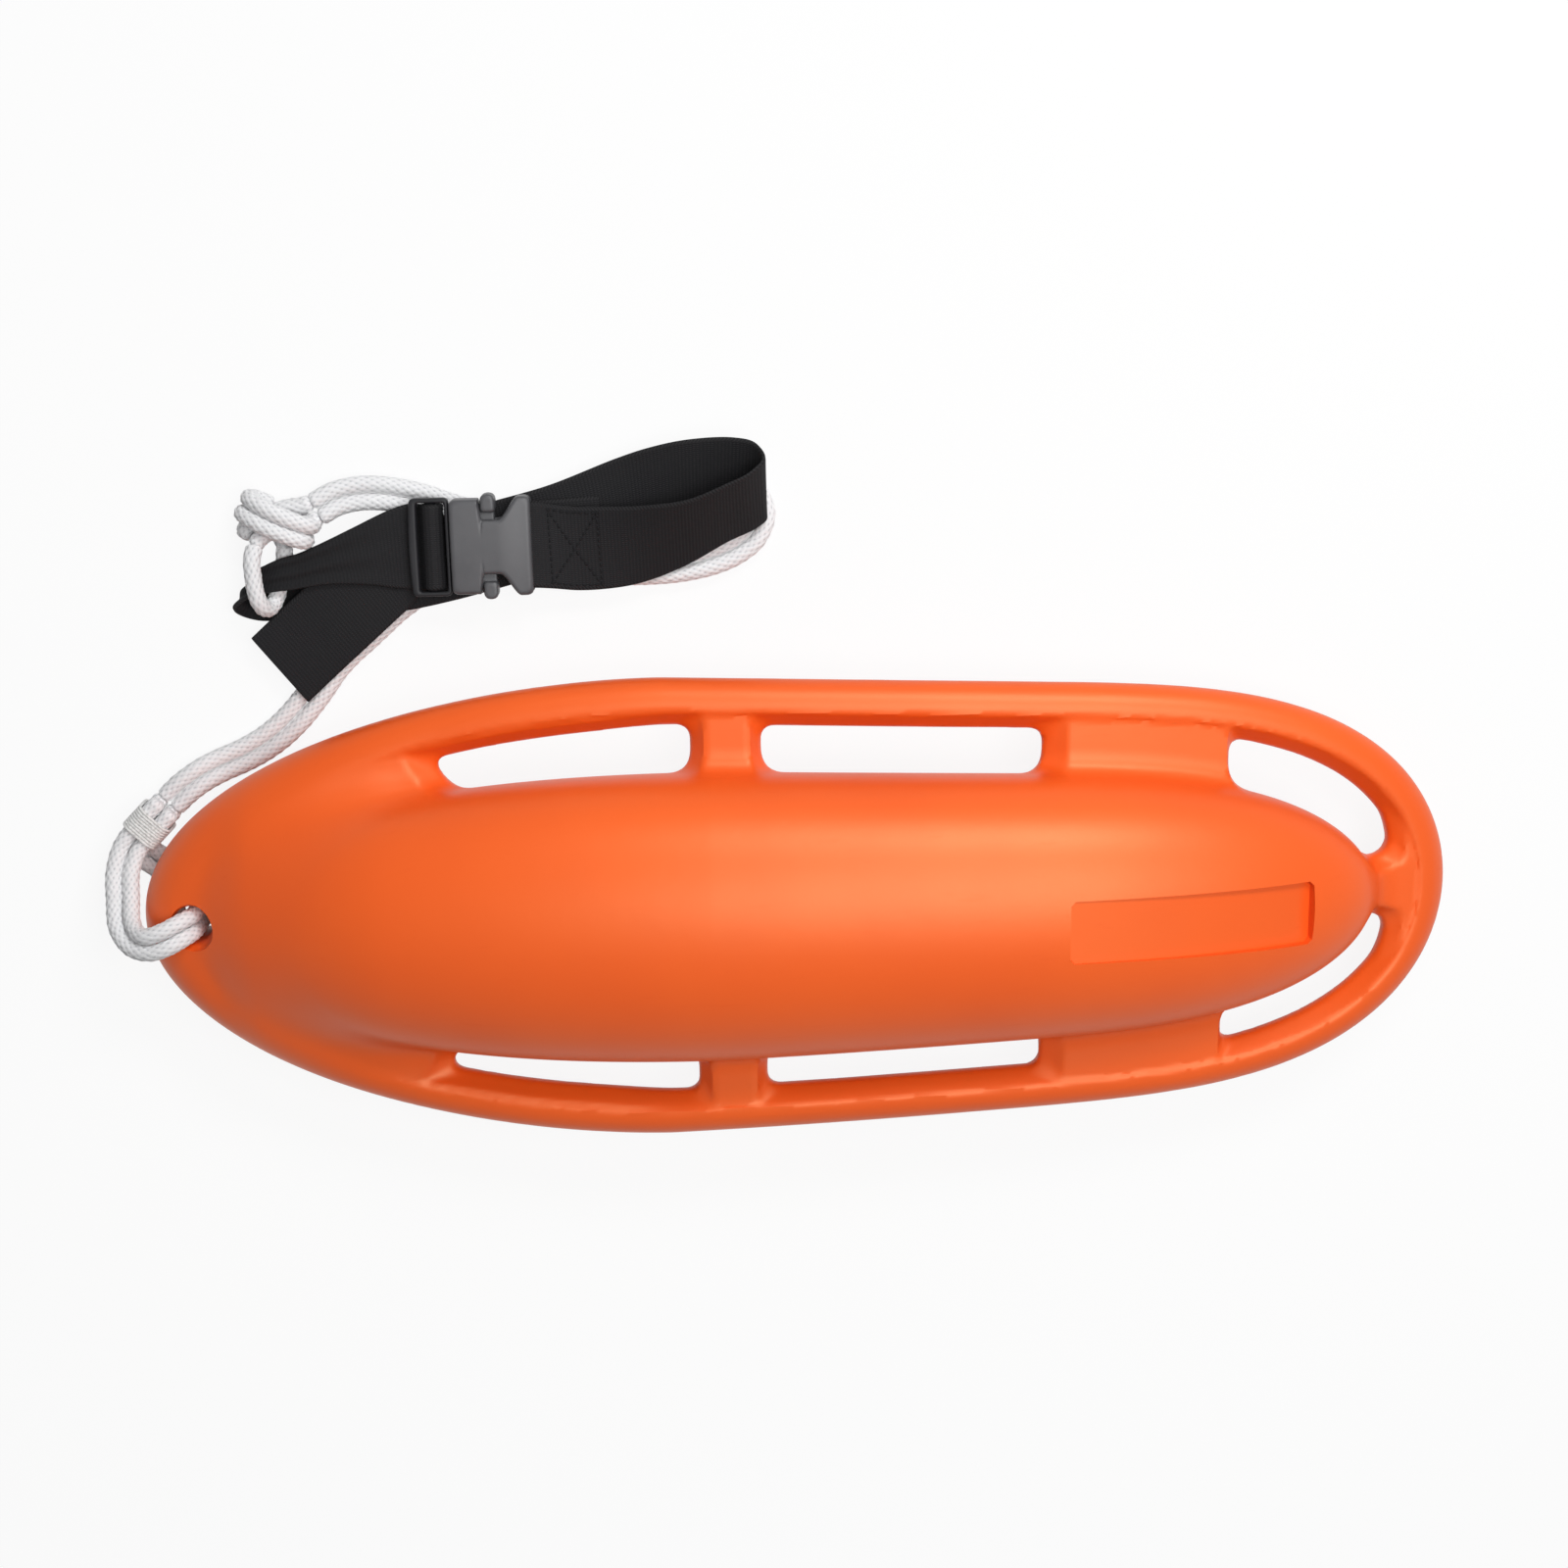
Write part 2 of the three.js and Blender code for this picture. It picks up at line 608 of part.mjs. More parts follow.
// Route of the webbing from its sewn end to its cut end. Each row has shares of the layout length along, across
// and up from the buckle's middle, the share of the full width, and the angles of its edge line: yaw and tilt.
const beltRouteShares = [
  [0.58, 0.02, 0.137, 1, 90, 0],
  [0.42, 0.01, 0.137, 1, 90, 0],
  [0.26, 0, 0.137, 1, 90, 0],
  [0.165, 0, 0.139, 1, 90, 0],
  [0.118, 0, 0.168, 1, 90, 0],
  [0.14, 0, 0.205, 1, 90, 0],
  [0.19, 0, 0.211, 1, 90, 0],
  [0.25, -0.005, 0.195, 1, 91, 0],
  [0.32, -0.015, 0.173, 1, 92, 1],
  [0.44, -0.03, 0.165, 1, 92, 4],
  [0.58, -0.03, 0.172, 1, 92, 8],
  [0.78, -0.015, 0.195, 1, 91, 19],
  [1.04, 0.05, 0.243, 1, 91, 35],
  [1.26, 0.155, 0.278, 1, 92, 42],
  [1.4, 0.22, 0.28, 1, 94, 42],
  [1.465, 0.28, 0.258, 1, 92, 38],
  [1.41, 0.33, 0.222, 1, 88, 30],
  [1.29, 0.345, 0.205, 1, 88, 23],
  [1.06, 0.33, 0.186, 1, 90, 19],
  [0.87, 0.285, 0.166, 1, 92, 14],
  [0.71, 0.225, 0.142, 1, 96, 8],
  [0.38, 0.09, 0.114, 1, 104, 1],
  [0.04, 0, 0.111, 1, 104, 0],
  [-0.28, -0.08, 0.111, 1, 103, 0],
  [-0.56, -0.135, 0.111, 0.98, 100, 0],
  [-0.76, -0.165, 0.1, 0.88, 98, 0],
  [-0.96, -0.2, 0.037, 0.74, 97, 0],
  [-1.16, -0.26, 0.023, 0.62, 92, 0],
  [-1.29, -0.275, 0.032, 0.56, 78, 0],
  [-1.36, -0.235, 0.095, 0.52, 62, 0],
  [-1.29, -0.18, 0.15, 0.46, 60, 0],
  [-1.18, -0.14, 0.165, 0.42, 70, 0],
  [-1.06, -0.12, 0.163, 0.42, 84, 0],
  [-0.94, -0.09, 0.161, 0.46, 96, 0],
  [-0.72, -0.045, 0.16, 0.68, 98, 0],
  [-0.52, -0.01, 0.159, 0.94, 92, 0],
  [-0.44, 0, 0.159, 1, 90, 0],
  [-0.395, 0, 0.16, 1, 90, 0],
  [-0.368, 0, 0.188, 1, 90, 0],
  [-0.345, 0, 0.219, 1, 90, 0],
  [-0.315, 0, 0.229, 1, 90, 0],
  [-0.285, 0, 0.219, 1, 90, 0],
  [-0.267, 0, 0.19, 1, 90, 0],
  [-0.27, 0, 0.157, 1, 90, 0],
  [-0.295, 0, 0.1385, 1, 90, 0],
  [-0.37, -0.005, 0.136, 1, 93, 0],
  [-0.48, -0.05, 0.136, 1, 110, 0],
  [-0.6, -0.145, 0.135, 1, 124, 0],
  [-0.82, -0.335, 0.13, 1, 128, 0],
  [-1.02, -0.51, 0.116, 1, 128, 0],
  [-1.195, -0.665, 0.112, 1, 128, 0],
];
const beltGatherShare = 0.9;
const beltOriginX = -162;

// A flat band along the route: a box of many steps whose corners are laid across each station.
function buildBelt() {
  const centres = [];
  const sides = [];
  const widths = [];
  for (const [along, across, up, widthShare, yaw, tilt] of beltRouteShares) {
    const [turn, lean] = [THREE.MathUtils.degToRad(yaw), THREE.MathUtils.degToRad(tilt)];
    centres.push(new THREE.Vector3(
      beltOriginX + along * belt.layout,
      buckle.y + across * belt.layout,
      up * belt.layout,
    ));
    sides.push(new THREE.Vector3(Math.cos(turn) * Math.cos(lean), Math.sin(turn) * Math.cos(lean), Math.sin(lean)));
    const gather = 1 + beltGatherShare * (1 - widthShare);
    widths.push(new THREE.Vector3(widthShare * belt.width, gather * belt.thickness, 0));
  }
  const centreCurve = new THREE.CatmullRomCurve3(centres, false, 'centripetal');
  const sideCurve = new THREE.CatmullRomCurve3(sides, false, 'centripetal');
  const widthCurve = new THREE.CatmullRomCurve3(widths, false, 'centripetal');
  const steps = 2 * (centres.length - 1);
  const geometry = new THREE.BoxGeometry(1, 1, 1, steps, 2, 1);
  const tangent = new THREE.Vector3();
  mapPoints(geometry, (point) => {
    const share = Math.min(Math.max(point.x + 0.5, 0), 1);
    const centre = centreCurve.getPoint(share);
    const side = sideCurve.getPoint(share).normalize();
    const size = widthCurve.getPoint(share);
    const step = 0.5 / steps;
    tangent.copy(centreCurve.getPoint(Math.min(share + step, 1)));
    tangent.sub(centreCurve.getPoint(Math.max(share - step, 0))).normalize();
    const normal = new THREE.Vector3().crossVectors(tangent, side).normalize();
    const [across, through] = [point.y * size.x, point.z * size.y];
    point.copy(centre).addScaledVector(side, across).addScaledVector(normal, through);
  });
  addPiece('belt_strap', geometry, blackWebbing);
}

// Housing half of the buckle: rounded block with an arm bay, two side windows and a bay for the sewn webbing.
function buildHousing() {
  const length = buckle.rearX - buckle.mouthX;
  const waistFrom = (length - buckle.waistLength) / 2;
  const outline = [
    [0, buckle.mouthHalfWidth],
    [waistFrom, buckle.mouthHalfWidth],
    [waistFrom + buckle.flareLength / 2, buckle.waistHalfWidth],
    [length - buckle.flareLength - buckle.flareLength / 2, buckle.waistHalfWidth],
    [length - buckle.flareLength / 2, buckle.rearHalfWidth],
    [length, buckle.rearHalfWidth],
  ];
  const inset = outline.map(([x, y], i) => {
    let edge = 0;
    if (i === 0) edge = buckle.edge;
    if (i === outline.length - 1) edge = -buckle.edge;
    return new THREE.Vector2(x + edge, y - buckle.edge);
  });
  const shape = new THREE.Shape([...inset, ...mirroredY(inset)].reverse());
  const geometry = new THREE.ExtrudeGeometry(shape, {
    depth: buckle.height - 2 * buckle.edge,
    bevelEnabled: true,
    bevelThickness: buckle.edge,
    bevelSize: buckle.edge,
    bevelSegments: 2,
    steps: 1,
  });
  geometry.translate(buckle.mouthX, buckle.y, buckle.centreZ - buckle.height / 2 + buckle.edge);
  let block = toSolid(geometry);
  const bayLength = buckle.cavityLength + overrun;
  const bayX = buckle.mouthX + buckle.cavityLength - bayLength / 2;
  block = block.subtract(boxSolid(
    bayLength, 2 * buckle.cavityHalfWidth, buckle.cavityHeight, bayX, buckle.y, buckle.centreZ,
  ));
  const windowLength = buckle.windowTo - buckle.windowFrom;
  const windowX = buckle.mouthX + (buckle.windowFrom + buckle.windowTo) / 2;
  block = block.subtract(boxSolid(
    windowLength, 2 * (buckle.rearHalfWidth + overrun), buckle.cavityHeight, windowX, buckle.y, buckle.centreZ,
  ));
  const strapFromX = buckle.rearX - buckle.strapBayLength;
  const strapHeight = buckle.height - buckle.hoodThickness;
  const strapZ = buckle.centreZ - buckle.height / 2 + (strapHeight - overrun) / 2;
  block = block.subtract(boxSolid(
    buckle.strapBayLength + overrun, 2 * buckle.strapBayHalfWidth, strapHeight + overrun,
    strapFromX + (buckle.strapBayLength + overrun) / 2, buckle.y, strapZ,
  ));
  const barX = buckle.rearX - buckle.barLength / 2;
  const barZ = buckle.centreZ - buckle.height / 2 + buckle.barDrop;
  const bar = boxSolid(
    buckle.barLength, 2 * buckle.waistHalfWidth, buckle.barHeight, barX, buckle.y, barZ,
  );
  addPiece('buckle_housing', toGeometry(block.add(bar)), greyPlastic);
}

const plugFrontX = buckle.mouthX - fit;
const plugBarX = plugFrontX - plug.frontBar;
const plugInnerX = plugBarX - plug.innerSlot;
const plugLadderX = plugInnerX - plug.ladderBar;
const plugOuterX = plugLadderX - plug.outerSlot;
const plugEndX = plugOuterX - plug.endBar;

// Plug half of the buckle: a frame with an end bar, a lower ladder bar between two slots and a guide tongue.
function buildPlug() {
  const edge = plug.frontBar / 4;
  const frameLength = plugFrontX - plugEndX;
  const shape = new THREE.Shape();
  const [reachX, reachY] = [frameLength / 2 - edge, plug.halfWidth - edge];
  shape.moveTo(-reachX, -reachY);
  shape.lineTo(reachX, -reachY);
  shape.lineTo(reachX, reachY);
  shape.lineTo(-reachX, reachY);
  shape.closePath();
  const geometry = new THREE.ExtrudeGeometry(shape, {
    depth: plug.height - 2 * edge,
    bevelEnabled: true,
    bevelThickness: edge,
    bevelSize: edge,
    bevelSegments: 1,
    steps: 1,
  });
  geometry.translate((plugFrontX + plugEndX) / 2, buckle.y, buckle.centreZ - plug.height / 2 + edge);
  let frame = toSolid(geometry);
  const opening = plugBarX - plugOuterX;
  frame = frame.subtract(boxSolid(
    opening, 2 * plug.slotHalfWidth, plug.height + overrun, plugBarX - opening / 2, buckle.y, buckle.centreZ,
  ));
  const ladder = new THREE.CylinderGeometry(plug.ladderHeight / 2, plug.ladderHeight / 2, 2 * plug.halfWidth - 4 * edge, 12);
  ladder.scale(plug.ladderBar / plug.ladderHeight, 1, 1);
  ladder.translate((plugInnerX + plugLadderX) / 2, buckle.y, buckle.centreZ - plug.ladderDrop);
  frame = frame.add(toSolid(ladder));
  frame = frame.add(boxSolid(
    plug.tongueLength + plug.frontBar, 2 * plug.tongueHalfWidth, plug.tongueHeight,
    plugFrontX + (plug.tongueLength - plug.frontBar) / 2, buckle.y, buckle.centreZ,
  ));
  addPiece('buckle_plug', toGeometry(frame), greyPlastic);
}

// One release arm: a round root beside the plug's front bar, a slim beam and a wide head in the side window.
function buildArm(name, side) {
  const pivotX = plugFrontX + fit + arm.rootRadius;
  const headFrom = buckle.mouthX + buckle.windowFrom + arm.headStart - pivotX;
  const headTo = headFrom + arm.headLength;
  const root = arm.rootRadius;
  const inner = arm.headInnerY - arm.rootY;
  const outer = arm.headOuterY - arm.rootY;
  const shape = new THREE.Shape();
  shape.absarc(0, 0, root, Math.PI / 2, 1.5 * Math.PI, false);
  shape.lineTo(headFrom, inner - arm.beamThickness);
  shape.lineTo(headTo, inner - arm.beamThickness / 2);
  shape.lineTo(headTo + arm.tipLength / 2, inner + arm.tipLength);
  shape.lineTo(headTo, outer - arm.tipLength);
  shape.lineTo(headTo - arm.tipLength, outer);
  shape.lineTo(headFrom, outer);
  shape.lineTo(headFrom, inner + arm.beamThickness / 2);
  shape.closePath();
  const geometry = new THREE.ExtrudeGeometry(shape, {
    depth: arm.height,
    bevelEnabled: false,
    curveSegments: 6,
  });
  geometry.translate(0, 0, -arm.height / 2);
  let placed = geometry;
  if (side < 0) placed = flipped(mapPoints(geometry, (point) => { point.y = -point.y; }));
  addPiece(name, moved(placed, pivotX, buckle.y + side * arm.rootY, buckle.centreZ), greyPlastic);
}

buildCanShell();
buildVentPlug();
buildRopes();
buildSeizing();
buildKnot();
buildBelt();
buildHousing();
buildPlug();
buildArm('release_arm_upper', 1);
buildArm('release_arm_lower', -1);

export default group;
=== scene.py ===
import math
import bmesh
import bpy
import numpy as np
from mathutils import Matrix, Vector


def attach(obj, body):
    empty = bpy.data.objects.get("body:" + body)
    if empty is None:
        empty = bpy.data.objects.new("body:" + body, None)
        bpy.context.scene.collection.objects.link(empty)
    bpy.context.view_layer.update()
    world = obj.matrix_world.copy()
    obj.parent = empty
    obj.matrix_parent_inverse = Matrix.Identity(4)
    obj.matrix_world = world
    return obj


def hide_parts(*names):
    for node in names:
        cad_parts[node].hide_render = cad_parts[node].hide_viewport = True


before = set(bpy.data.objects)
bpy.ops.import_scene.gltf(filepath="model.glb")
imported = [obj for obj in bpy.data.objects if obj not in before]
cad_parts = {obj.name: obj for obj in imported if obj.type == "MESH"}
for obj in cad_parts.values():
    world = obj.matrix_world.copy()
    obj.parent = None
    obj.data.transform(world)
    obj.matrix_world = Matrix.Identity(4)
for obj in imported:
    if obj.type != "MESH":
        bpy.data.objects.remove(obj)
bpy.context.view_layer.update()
mainBody = "can_body"
mm = 0.001  # the shapes below are written in millimetres


# Camera, at the photograph's angle. Angles in degrees.
cameraSetup = {"tilt": 13.96, "roll": -1.56, "yaw": 2.01, "target": (-8.3, 65.0, 32.0), "distance": 1193.0,
               "lens": 49.97, "sensor": 36.0, "nearest": 0.01}


def addCamera(c):
    tilt, yaw, roll = (math.radians(c[key]) for key in ("tilt", "yaw", "roll"))
    down = Vector((0, -math.sin(tilt), -math.cos(tilt)))
    up = Vector((0, math.cos(tilt), -math.sin(tilt)))
    right = Vector((1, 0, 0))
    view = math.cos(yaw) * down + math.sin(yaw) * right
    side = math.cos(yaw) * right - math.sin(yaw) * down
    across = math.cos(roll) * side + math.sin(roll) * up
    upward = math.cos(roll) * up - math.sin(roll) * side
    data = bpy.data.cameras.new("photoCamera")
    data.sensor_fit = "HORIZONTAL"
    data.sensor_width = c["sensor"]
    data.lens = c["lens"]
    data.clip_start = c["nearest"]
    camera = bpy.data.objects.new("photoCamera", data)
    bpy.context.scene.collection.objects.link(camera)
    turn = Matrix((across, upward, -view)).transposed().to_4x4()
    camera.matrix_world = Matrix.Translation((Vector(c["target"]) - view * c["distance"]) * mm) @ turn
    bpy.context.scene.camera = camera


addCamera(cameraSetup)
print("camera done")


# Small helpers for meshes.
def meshObject(name, points, faces, cornerUv=None):
    mesh = bpy.data.meshes.new(name)
    faces = np.asarray(faces, np.int32)
    sides = faces.shape[1]
    mesh.vertices.add(len(points))
    mesh.vertices.foreach_set("co", (np.asarray(points, np.float64) * mm).astype(np.float32).ravel())
    mesh.loops.add(faces.size)
    mesh.loops.foreach_set("vertex_index", faces.ravel())
    mesh.polygons.add(len(faces))
    mesh.polygons.foreach_set("loop_start", np.arange(len(faces), dtype=np.int32) * sides)
    mesh.update(calc_edges=True)
    mesh.validate()
    mesh.polygons.foreach_set("use_smooth", np.full(len(mesh.polygons), True))
    if cornerUv is not None:
        layer = mesh.uv_layers.new(name="UVMap")
        layer.data.foreach_set("uv", np.asarray(cornerUv, np.float32).ravel())
    obj = bpy.data.objects.new(name, mesh)
    bpy.context.scene.collection.objects.link(obj)
    return obj


def wireObject(name, points, edges):
    mesh = bpy.data.meshes.new(name)
    mesh.from_pydata([tuple(p * mm) for p in points], edges, [])
    obj = bpy.data.objects.new(name, mesh)
    bpy.context.scene.collection.objects.link(obj)
    return obj


def pointFacesOut(obj, closeHoles=False):
    bm = bmesh.new()
    bm.from_mesh(obj.data)
    if closeHoles:
        bmesh.ops.holes_fill(bm, edges=[e for e in bm.edges if e.is_boundary], sides=0)
    bmesh.ops.recalc_face_normals(bm, faces=bm.faces[:])
    bm.to_mesh(obj.data)
    bm.free()


def settle(obj):  # modifiers made a plain mesh
    bpy.context.view_layer.update()
    plain = bpy.data.meshes.new_from_object(obj.evaluated_get(bpy.context.evaluated_depsgraph_get()))
    obj.modifiers.clear()
    obj.data = plain


def tubeQuads(rings, sides):
    i, j = np.meshgrid(np.arange(rings - 1), np.arange(sides), indexing="ij")
    k = (j + 1) % sides
    quads = np.stack([i * sides + j, i * sides + k, (i + 1) * sides + k, (i + 1) * sides + j], -1)
    return i, j, k, quads.reshape(-1, 4)


def smoothShare(value):
    share = np.clip(value, 0, 1)
    return share * share * (3 - 2 * share)


def fade(x, start, length):  # from 0 at start to 1 a length further on; a negative length runs the other way
    return smoothShare((x - start) / length)


def unit(rows):
    return rows / np.linalg.norm(rows, axis=1)[:, None]


def marksAlong(path):
    return np.concatenate([[0], np.cumsum(np.linalg.norm(np.diff(path[:, :3], axis=0), axis=1))])


def splineThrough(points, spacing, samples=24):
    pts = np.asarray(points, float)
    first, last = 2 * pts[0] - pts[1], 2 * pts[-1] - pts[-2]
    pts = np.vstack([first, pts, last])
    gaps = np.sqrt(np.linalg.norm(np.diff(pts[:, :3], axis=0), axis=1)).clip(1e-4)
    fine = []
    for i in range(1, len(pts) - 2):
        t0, t1 = 0.0, gaps[i - 1]
        t2, t3 = t1 + gaps[i], t1 + gaps[i] + gaps[i + 1]
        t = np.linspace(t1, t2, samples, endpoint=i == len(pts) - 3)[:, None]
        a1 = (t1 - t) / (t1 - t0) * pts[i - 1] + (t - t0) / (t1 - t0) * pts[i]
        a2 = (t2 - t) / (t2 - t1) * pts[i] + (t - t1) / (t2 - t1) * pts[i + 1]
        a3 = (t3 - t) / (t3 - t2) * pts[i + 1] + (t - t2) / (t3 - t2) * pts[i + 2]
        b1 = (t2 - t) / (t2 - t0) * a1 + (t - t0) / (t2 - t0) * a2
        b2 = (t3 - t) / (t3 - t1) * a2 + (t - t1) / (t3 - t1) * a3
        fine.append((t2 - t) / (t2 - t1) * b1 + (t - t1) / (t2 - t1) * b2)
    fine = np.vstack(fine)
    along = marksAlong(fine)
    count = max(int(round(along[-1] / spacing)), 2)
    marks = np.linspace(0, along[-1], count + 1)
    return np.stack([np.interp(marks, along, fine[:, k]) for k in range(fine.shape[1])], axis=1)


def pathLength(path):
    return float(np.linalg.norm(np.diff(path[:, :3], axis=0), axis=1).sum())


# Materials. A Flow wraps a socket, so that shader maths reads as plain sums.
class Flow:
    def __init__(self, paint, socket):
        self.paint, self.socket = paint, socket

    def math(self, operation, *others):
        return self.paint.node("ShaderNodeMath", {"operation": operation}, *([self] + list(others)))

    def __add__(self, other): return self.math("ADD", other)
    def __radd__(self, other): return self.math("ADD", other)
    def __mul__(self, other): return self.math("MULTIPLY", other)
    def __rmul__(self, other): return self.math("MULTIPLY", other)
    def __sub__(self, other): return self.math("SUBTRACT", other)
    def __abs__(self): return self.math("ABSOLUTE")
    def wave(self): return self.math("SINE")

    def __rsub__(self, other):
        return self.paint.node("ShaderNodeMath", {"operation": "SUBTRACT"}, other, self)

    def between(self, low, high):
        settings = {"interpolation_type": "SMOOTHSTEP"}
        return self.paint.node("ShaderNodeMapRange", settings, self, low, high, 0.0, 1.0)


class Paint:
    def __init__(self, name, color, roughness, **constants):
        self.material = bpy.data.materials.new(name)
        self.material.use_nodes = True
        self.tree = self.material.node_tree
        self.shader = self.tree.nodes["Principled BSDF"]
        self.shader.inputs["Base Color"].default_value = (*color, 1)
        self.shader.inputs["Roughness"].default_value = roughness
        for key, value in constants.items():
            self.shader.inputs[key.replace("_", " ")].default_value = value

    def node(self, kind, settings, *values, out=0, **named):
        node = self.tree.nodes.new(kind)
        for key, value in settings.items():
            setattr(node, key, value)
        for target, value in list(enumerate(values)) + list(named.items()):
            if isinstance(value, Flow):
                self.tree.links.new(value.socket, node.inputs[target])
            elif value is not None:
                node.inputs[target].default_value = value
        return Flow(self, node.outputs[out])

    def coordinates(self, kind="Object"):
        return self.node("ShaderNodeTexCoord", {}, out=kind)

    def split(self, vector):
        flow = self.node("ShaderNodeSeparateXYZ", {}, vector)
        return [Flow(self, flow.socket.node.outputs[i]) for i in range(3)]

    def attribute(self, name):
        return self.node("ShaderNodeAttribute", {"attribute_name": name}, out="Fac")

    def stretched(self, vector, scale, turn=(0, 0, 0)):
        return self.node("ShaderNodeMapping", {}, vector, None, turn, scale)

    def noise(self, vector, scale, detail=2.0, rough=0.5):
        return self.node("ShaderNodeTexNoise", {}, Vector=vector, Scale=scale, Detail=detail, Roughness=rough)

    def mix(self, share, first, second):
        ends = [value if isinstance(value, Flow) else (*value, 1) for value in (first, second)]
        node = self.node("ShaderNodeMix", {"data_type": "RGBA"}, out=2).socket.node
        for target, value in ((0, share), (6, ends[0]), (7, ends[1])):
            if isinstance(value, Flow):
                self.tree.links.new(value.socket, node.inputs[target])
            else:
                node.inputs[target].default_value = value
        return Flow(self, node.outputs[2])

    def bump(self, height, distance, strength=1.0, below=None):
        named = {"Strength": strength, "Distance": distance, "Height": height}
        if below is not None:
            named["Normal"] = below
        return self.node("ShaderNodeBump", {}, **named)

    def use(self, **outputs):
        for key, flow in outputs.items():
            self.tree.links.new(flow.socket, self.shader.inputs[key.replace("_", " ")])
        return self.material


# Moulded plastic: clouds of tone, fine grain, slow swells and long scuffs. Noise scales are per metre.
moulded = {"tint": (1.0, 0.74, 0.42, 1), "specular": 0.8,
           "cloud": 9, "cloudRange": (0.3, 0.7), "cloudTone": 0.5, "cloudRough": 0.1,
           "scuff": (30, 260, 260), "scuffRange": (0.6, 0.8), "scuffTone": 0.25, "scuffRough": 0.08,
           "grain": 900, "grainRough": 0.06, "grainBump": 0.5,
           "swell": 70, "swellDepth": 6, "swellBump": 0.25}


def mouldedPaint(name, color, deep, roughness, grainDepth):
    m = moulded
    p = Paint(name, color, roughness, Specular_Tint=m["tint"], Specular_IOR_Level=m["specular"])
    place = p.coordinates()
    cloud = p.noise(place, m["cloud"], 3)
    grain = p.noise(place, m["grain"], 2, 0.6)
    scuff = p.noise(p.stretched(place, m["scuff"]), 1, 4, 0.6).between(*m["scuffRange"])
    tone = p.mix(cloud.between(*m["cloudRange"]) * m["cloudTone"] + scuff * m["scuffTone"], color, deep)
    rough = roughness + (cloud - 0.5) * m["cloudRough"] + scuff * m["scuffRough"]
    rough = rough + (grain - 0.5) * m["grainRough"]
    swell = p.bump(p.noise(place, m["swell"], 2), grainDepth * m["swellDepth"], m["swellBump"])
    return p.use(Base_Color=tone, Roughness=rough, Normal=p.bump(grain, grainDepth, m["grainBump"], swell))


# Braid: fibres drawn out along the rope, soft patches, and painted shade in the furrows between the strands.
braid = {"roughness": 0.8, "fibre": 6.0, "fibreAlong": 0.9, "fibreAround": 90.0, "fibreRough": 0.15,
         "fibreBump": 0.00035, "fibreTone": 0.35, "patch": 60, "patchTone": 0.2, "layTone": 1.15,
         "layShift": 0.08, "shadeRange": (0.0, 0.75)}


def ropePaint(name, light, dark):
    r = braid
    p = Paint(name, light, r["roughness"])
    u, v, _ = p.split(p.coordinates("UV"))
    drawn = p.node("ShaderNodeCombineXYZ", {}, u * r["fibreAlong"], v * r["fibreAround"], 0.0)
    fibre = p.noise(drawn, r["fibre"], 3, 0.65)
    patch = p.noise(p.coordinates(), r["patch"], 2)
    # painted shade: the braid's height (lay) darkens the colour in the furrows between the strands
    lay = p.attribute("lay")
    shade = lay * r["layTone"] - r["layShift"]
    shade = shade + (fibre - 0.5) * r["fibreTone"] + (patch - 0.5) * r["patchTone"]
    tone = p.mix(shade.between(*r["shadeRange"]), dark, light)
    return p.use(Base_Color=tone, Roughness=r["roughness"] + fibre * r["fibreRough"],
                 Normal=p.bump(fibre, r["fibreBump"], 0.8))


# Webbing: pitches and the selvedge's place in millimetres on the belt's own map, noise scales per metre.
weaving = {"ribPitch": 1.9, "cordPitch": 1.15, "cordSway": 0.6, "selvedge": (20.4, 21.2), "selvedgeLean": 2.6,
           "fuzz": 420, "patch": 26, "weaveTone": 0.7, "fuzzTone": 0.5, "patchTone": 0.5,
           "toneRange": (0.05, 0.95), "weaveBump": 0.0003, "fuzzBump": 0.0001, "roughness": 0.62,
           "fuzzRough": 0.2, "specular": 0.2}


def webbingPaint(name, light, dark):
    w = weaving
    p = Paint(name, dark, w["roughness"], Specular_IOR_Level=w["specular"])
    u, v, _ = p.split(p.coordinates("UV"))
    ribTurn, cordTurn = 2 * math.pi / w["ribPitch"], 2 * math.pi / w["cordPitch"]
    ribs = (u * ribTurn).wave() * 0.5 + 0.5
    cords = (v * cordTurn + (u * (ribTurn / 2)).wave() * w["cordSway"]).wave() * 0.5 + 0.5
    edge = abs(v).between(*w["selvedge"])
    selvedge = (u * ribTurn + v * w["selvedgeLean"]).wave() * 0.5 + 0.5
    weave = ribs * cords * (1 - edge) + selvedge * edge
    fuzz = p.noise(p.coordinates(), w["fuzz"], 3, 0.65)
    patch = p.noise(p.coordinates(), w["patch"], 2)
    shade = weave * w["weaveTone"] + (fuzz - 0.5) * w["fuzzTone"] + (patch - 0.5) * w["patchTone"]
    tone = p.mix(shade.between(*w["toneRange"]), dark, light)
    normal = p.bump(weave, w["weaveBump"], 0.7, p.bump(fuzz, w["fuzzBump"], 0.5))
    return p.use(Base_Color=tone, Roughness=w["roughness"] + fuzz * w["fuzzRough"], Normal=normal)


# Acetal of the buckle: spark-eroded grain, faint clouds and rubbed streaks.
acetal = {"roughness": 0.4, "grain": 1500, "grainRough": 0.08, "grainBump": 0.00004, "cloud": 55,
          "cloudRange": (0.3, 0.75), "cloudTone": 0.4, "cloudRough": 0.14, "rub": (180, 900, 400),
          "rubTurn": (0, 0, 0.5), "rubRange": (0.62, 0.78), "rubTone": 0.3, "rubRough": 0.1}


